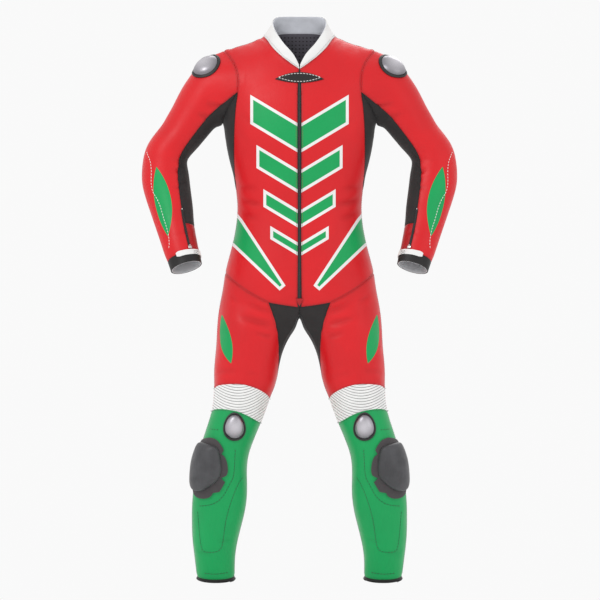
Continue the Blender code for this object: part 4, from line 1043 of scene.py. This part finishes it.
def middle_line(name, count):
    """Points along the middle of a long narrow CAD piece, from its top to its foot."""
    points = points_of(nodes[name])
    centre = points.mean(axis=0)
    run = np.linalg.svd(points - centre, full_matrices=False)[2][0]
    run *= -np.sign(run[2])
    along = (points - centre) @ run
    places = np.linspace(along.min(), along.max(), count)
    reach = (along.max() - along.min()) / (count - 1) * 0.75
    return [points[np.abs(along - place) <= reach].mean(axis=0) for place in places]


def pull_shape():
    """A slider's pull: a thin tab with rounded corners and a hole through its free end."""
    pull = box(PULL_SIZE)
    bpy.ops.object.mode_set(mode="EDIT")
    bpy.ops.mesh.select_all(action="SELECT")
    bpy.ops.mesh.bevel(offset=0.0004, segments=2)
    bpy.ops.object.mode_set(mode="OBJECT")
    bpy.ops.mesh.primitive_cylinder_add(vertices=20, radius=PULL_HOLE, depth=0.01)
    drill = bpy.context.object
    drill.location = (PULL_SIZE[0] * PULL_HOLE_AT, 0, 0)
    cut_away(pull, drill)
    return shape_of(pull)


nickel = plain("nickel", (0.62, 0.60, 0.58), 0.24, metallic=1.0)
stop_nickel = plain("stop_nickel", (0.78, 0.77, 0.75), 0.22, metallic=1.0)
for side in ("left", "right"):
    tape = made(f"forearm_zip_{side}", tape_black, edge=0.0002)
    line = np.array(middle_line(f"forearm_zip_{side}", FOREARM_ZIP_SPOTS))
    outwards = line - [math.copysign(ARM_AXIS[0], line[0][0]), ARM_AXIS[1], 0.0]
    outwards[:, 2] = 0.0
    line, outs = landings(landed(tree_of(tape), line, -outwards, near=0.006))
    teeth = zip_teeth(f"forearm_zip_teeth_{side}", line, outs)
    sheet_of(tape)
    ends = [(line[0], line[1] - line[0], outs[0]), (line[-1], line[-1] - line[-2], outs[-1])]
    stop = block_shape(STOP_SIZE, edge=0.0006, segments=2)
    strewn(f"forearm_zip_stops_{side}", stop, ends, stop_nickel)
    slider = made(f"forearm_zip_slider_{side}", nickel, edge=0.0006)
    up, out = line[-3] - line[-1], outs[-1]
    root = points_of(slider).mean(axis=0) + out * PULL_LIFT
    up /= np.linalg.norm(up)
    places = [(root + up * PULL_SIZE[0] / 2, up, out)]
    strewn(f"forearm_zip_pull_{side}", pull_shape(), places, nickel)

# ---------------------------------------------------------------- cuffs
# Grey satin lines the cuff. A white leather strap with a pointed end closes it, held by
# hook-and-loop fabric underneath and sewn on through a boxed cross at its fixed end.

satin = facing_knit("cuff_satin", (0.56, 0.57, 0.59), 0.42, 0.4)
straps = {}
for side in ("left", "right"):
    sheet_of(made(f"cuff_lining_{side}", satin, edge=0.0003))
    straps[side] = sheet_of(made(f"cuff_strap_{side}", white_leather))

# ---------------------------------------------------------------- hems
# The foot of each leg is bound with a strip of black leather, doubled over its edge and sewn
# on from the inside.

for name in panel_names:
    if kind_of(name) == "hem":
        sheet_of(cut_panel(name, black_leather, black_leather))

# ---------------------------------------------------------------- shoulder cups and knee domes
# Pressed steel in a ring of black rubber that is sewn into the leather. The steel is brushed, and its colour
# is painted darker towards its rim as shade and lighter in its middle as a highlight.


def brushed_steel():
    material, tree, place = new_material("brushed_steel")
    # Painted shade towards the rim and a painted highlight in the middle, by nearness to the dome's middle.
    share = between(tree, attribute(tree, "middle"), 0.0, 0.75, 0.0, 1.0)
    long = node_of(tree, "Mapping", {}, {"Vector": place, "Scale": (1.0, 1.0, 14.0)}).outputs[0]
    lines = noise(tree, long, 160.0, 6.0)
    inputs = {
        "Base Color": blend(tree, share, (0.17, 0.16, 0.18), (0.66, 0.64, 0.68)),
        "Metallic": 1.0,
        "Anisotropic": 0.3,
        "Roughness": between(tree, lines, 0.35, 0.65, 0.27, 0.42),
        "Normal": bumped(tree, 0.12, 0.0002, lines),
    }
    return coated(material, inputs)


steel = brushed_steel()
rubber = plain("rim_rubber", (0.014, 0.014, 0.014), 0.5)
for side in ("left", "right"):
    for part in ("shoulder_cup", "knee_dome"):
        dome = made(f"{part}_{side}", steel)
        points = points_of(dome)
        away = np.linalg.norm(points - points.mean(axis=0), axis=1)
        # Nearness to the dome's middle, which the steel's painted highlight and shade follow.
        store(dome.data, "middle", 1 - away / away.max())
        made(f"{part}_rim_{side}", rubber, edge=0.0007)

# ---------------------------------------------------------------- knee sliders
# A hard dark puck of moulded plastic, scuffed all over, on a charcoal base of tough
# fabric-backed rubber with notches so that it bends round the leg.


def scuffed_plastic():
    material, tree, place = new_material("scuffed_plastic")
    broad = between(tree, noise(tree, place, 26.0, 5.0), 0.35, 0.65, 0.8, 1.25)
    long = node_of(tree, "Mapping", {}, {"Vector": place, "Scale": (1.0, 1.0, 0.12)}).outputs[0]
    scuffs = noise(tree, long, 420.0, 6.0)
    inputs = {
        "Base Color": scaled(tree, (0.050, 0.050, 0.055), broad),
        "Roughness": between(tree, scuffs, 0.35, 0.7, 0.34, 0.6),
        "Normal": bumped(tree, 0.2, 0.0004, scuffs),
    }
    return coated(material, inputs)


puck_plastic = scuffed_plastic()
base_rubber = facing_knit("base_rubber", (0.052, 0.045, 0.048), 0.72, 0.1)
for side in ("left", "right"):
    made(f"slider_puck_{side}", puck_plastic, sharp=60.0, edge=0.0012)
    made(f"slider_base_{side}", base_rubber, edge=0.0005)

# ---------------------------------------------------------------- sewing
# Bonded nylon thread. The red and green panels and the collar have a row of stitches 3 mm
# inside their seams, and longer rows hold the padding at the elbows and on the shins.

Row = namedtuple("Row", "pitch length thickness")
SEAM_ROW = Row(0.0046, 0.0034, 0.0008)
PAD_ROW = Row(0.0080, 0.0056, 0.0018)
CROSS_ROW = Row(0.0032, 0.0026, 0.0007)
SEAM_INSET = 0.0032
CORNER = 0.9  # a seam turns a corner where two pulls agree less than this
ELBOW_ROWS = [  # mm from the middle plane, and mm above the origin
    [(398, -294), (384, -330), (387, -393), (365, -425), (352, -473), (343, -499), (338, -530), (340, -549)],
]
SHIN_ROWS = [
    [(167, -1067), (170, -1140), (180, -1157), (200, -1196), (227, -1214), (263, -1217)],
    [(147, -1140), (164, -1167), (184, -1223), (194, -1266), (200, -1323), (213, -1337), (247, -1337)]
    + [(257, -1326), (265, -1228)],
    [(207, -1019), (237, -1016)],
    [(184, -1389), (206, -1393), (228, -1394), (250, -1391)],
]
ROW_STEP = 0.004
STITCH_LIFT = 0.15  # as a share of the thread's thickness
STITCH_END = 0.45  # its width where it goes into the leather, as a share
PATCH_HALF = (0.055, 0.0105)  # half the length and height of the rows in the throat patch
PATCH_HEIGHT = -0.1022
PATCH_SPOTS = 41
CROSS_HALF = (0.0052, 0.0042)  # of the boxed cross on the strap
CROSS_MIDDLE = (0.2690, -0.5570)
CROSS_SPOTS = 8  # along each of its strokes
CROSS_CORNERS = [(1, 1), (1, -1), (-1, -1), (-1, 1), (1, 1), (-1, -1), (-1, 1), (1, -1)]


def stitch_shape(row):
    """One stitch of thread: a short rod that narrows where it goes into the leather."""
    bpy.ops.mesh.primitive_cylinder_add(vertices=4, radius=row.thickness / 2, depth=row.length * 0.5)
    stitch = bpy.context.object
    bpy.ops.object.mode_set(mode="EDIT")
    bpy.ops.mesh.select_mode(type="FACE")
    form = bmesh.from_edit_mesh(stitch.data)
    for end in (1, -1):
        for face in form.faces:
            face.select_set(face.calc_center_median().z * end > row.length * 0.2)
        bmesh.update_edit_mesh(stitch.data)
        bpy.ops.mesh.extrude_region_move(TRANSFORM_OT_translate={"value": (0, 0, end * row.length * 0.25)})
        bpy.ops.transform.resize(value=(STITCH_END, STITCH_END, 1))
        form = bmesh.from_edit_mesh(stitch.data)
    bpy.ops.object.mode_set(mode="OBJECT")
    points, faces = shape_of(stitch)
    return points[:, [2, 0, 1]], faces


def thread(name, colour):
    inputs = {"Base Color": colour, "Roughness": 0.5, "Sheen Weight": 0.2}
    return coated(new_material(name)[0], inputs)


def sewn(tree, line, inwards, row):
    """Places for stitches along a line that is laid onto a surface."""
    points, ways = evenly(line, row.pitch)
    spots = landed(tree, points, np.array(inwards)[nearest_to(line, points)])
    lift = row.thickness * STITCH_LIFT
    return [(spot[0] + spot[1] * lift, way, spot[1]) for spot, way in zip(spots, ways) if spot]


def sewn_from_front(tree, line, row):
    """Places for stitches along a line of widths and heights, as seen from the front."""
    points, outs = landings([from_front(tree, x, z) for x, z in line])
    return sewn(tree, points, -np.array(outs), row) if len(points) > 2 else []


def seam_rows(name, but_not=()):
    """Stitches along a panel's seams, but not beside some neighbours, nor round its corners."""
    rim = RIMS[name]
    corners = {i for i, (j, _) in rim.steps.items() if rim.pulls[i] @ rim.pulls[j] < CORNER}
    lines, left = [], dict(rim.steps)
    while left:
        starts = set(left) - {j for j, _ in left.values()}
        i = next(iter(starts or left))
        at_line = [i]
        while i in left:
            j, neighbour = left.pop(i)
            if not neighbour or kind_of(neighbour) in but_not or i in corners:
                lines.append(at_line)
                at_line = []
            at_line.append(j)
            i = j
        lines.append(at_line)
    places = []
    for line in lines:
        if len(line) > 2:
            along = rim.points[line] + rim.pulls[line] * SEAM_INSET
            places += sewn(skin_tree, along, -rim.out[line], SEAM_ROW)
    return places


def eased(row):
    """A row of points with its corners cut off into curves."""
    row = np.array(row, float)
    for _ in range(3):
        first, second = row[:-1] * 0.75 + row[1:] * 0.25, row[:-1] * 0.25 + row[1:] * 0.75
        row = np.concatenate([row[:1], np.stack([first, second], axis=1).reshape(-1, 2), row[-1:]])
    return row


def front_rows(rows):
    """Places for the stitches of rows on both sides of the suit's front."""
    places = []
    for side in (1, -1):
        for row in rows:
            points = evenly(eased(row) * [side, 1] / 1000, ROW_STEP)[0]
            places += sewn_from_front(skin_tree, points, PAD_ROW)
    return places


red_thread = thread("red_thread", (0.30, 0.010, 0.014))
green_thread = thread("green_thread", (0.0, 0.035, 0.012))
white_thread = thread("white_thread", (0.78, 0.77, 0.74))
grey_thread = thread("grey_thread", (0.30, 0.30, 0.30))
black_thread = thread("black_thread", (0.02, 0.02, 0.02))
stitch, pad_stitch = stitch_shape(SEAM_ROW), stitch_shape(PAD_ROW)
THREADS = {"leather_red": red_thread, "leather_green": green_thread}
for name in panel_names:
    colour = THREADS.get(nodes[name].data.materials[0].name)
    if colour:
        places = seam_rows(name, but_not=("cuff_band", "hem"))
        strewn(f"{name}_stitches", stitch, places, colour)
strewn("collar_stitches", stitch, seam_rows("collar"), grey_thread)
strewn("elbow_stitches", pad_stitch, front_rows(ELBOW_ROWS), white_thread)
strewn("shin_stitches", pad_stitch, front_rows(SHIN_ROWS), green_thread)

places = []
patch_tree = tree_of(throat_patch)
for way in (1, -1):
    reach = np.linspace(-1, 1, PATCH_SPOTS)
    heights = PATCH_HEIGHT + way * PATCH_HALF[1] * (1 - reach**2)
    places += sewn_from_front(patch_tree, zip(reach * PATCH_HALF[0], heights), PAD_ROW)
strewn("throat_patch_stitches", pad_stitch, places, white_thread)
for side, way in (("left", 1), ("right", -1)):
    strap_tree, places = tree_of(straps[side]), []
    for corner, following in zip(CROSS_CORNERS, CROSS_CORNERS[1:]):
        line = (np.linspace(corner, following, CROSS_SPOTS) * CROSS_HALF + CROSS_MIDDLE) * [way, 1]
        places += sewn_from_front(strap_tree, line, CROSS_ROW)
    strewn(f"strap_stitches_{side}", stitch, places, black_thread)
bpy.data.meshes.remove(fine)

# ---------------------------------------------------------------- floor, lights and camera
# A plain pale floor, a large soft light from the upper left, a weaker one from the right, and
# a light from behind that separates the suit from the ground.

FLOOR_HEIGHT = -1.4175
bpy.ops.mesh.primitive_plane_add(size=60, location=(0, 0, FLOOR_HEIGHT))
floor = bpy.context.object
floor.name = "floor"
floor_paint = new_material("floor_paint")[0]
floor.data.materials.append(coated(floor_paint, {"Base Color": (0.93, 0.93, 0.93), "Roughness": 0.9}))

world = bpy.data.worlds.new("studio")
bpy.context.scene.world = world
world.use_nodes = True
feed(world.node_tree, world.node_tree.nodes["Background"], {"Color": (1, 1, 1), "Strength": 0.95})

Softbox = namedtuple("Softbox", "place energy size")
SOFTBOXES = [
    Softbox((-1.9, -2.6, 1.5), 28, 1.5),
    Softbox((2.4, -2.2, 0.3), 5, 2.0),
    Softbox((0.6, 2.6, 1.6), 24, 2.0),
]
LIT = (0, 0, -0.6)  # what every light points at
for number, softbox in enumerate(SOFTBOXES):
    light = bpy.data.lights.new(f"softbox_{number + 1}", "AREA")
    light.energy, light.size = softbox.energy, softbox.size
    lamp = added(light.name, light)
    lamp.location = softbox.place
    lamp.rotation_euler = (Vector(LIT) - lamp.location).to_track_quat("-Z", "Y").to_euler()

lens = bpy.data.cameras.new("camera")
lens.type = "ORTHO"
lens.ortho_scale = 1.56
lens.dof.use_dof = False
camera = added("camera", lens)
camera.location = (0.0013, -4.0, -0.681)
camera.rotation_euler = (math.radians(90), 0, 0)
bpy.context.scene.camera = camera
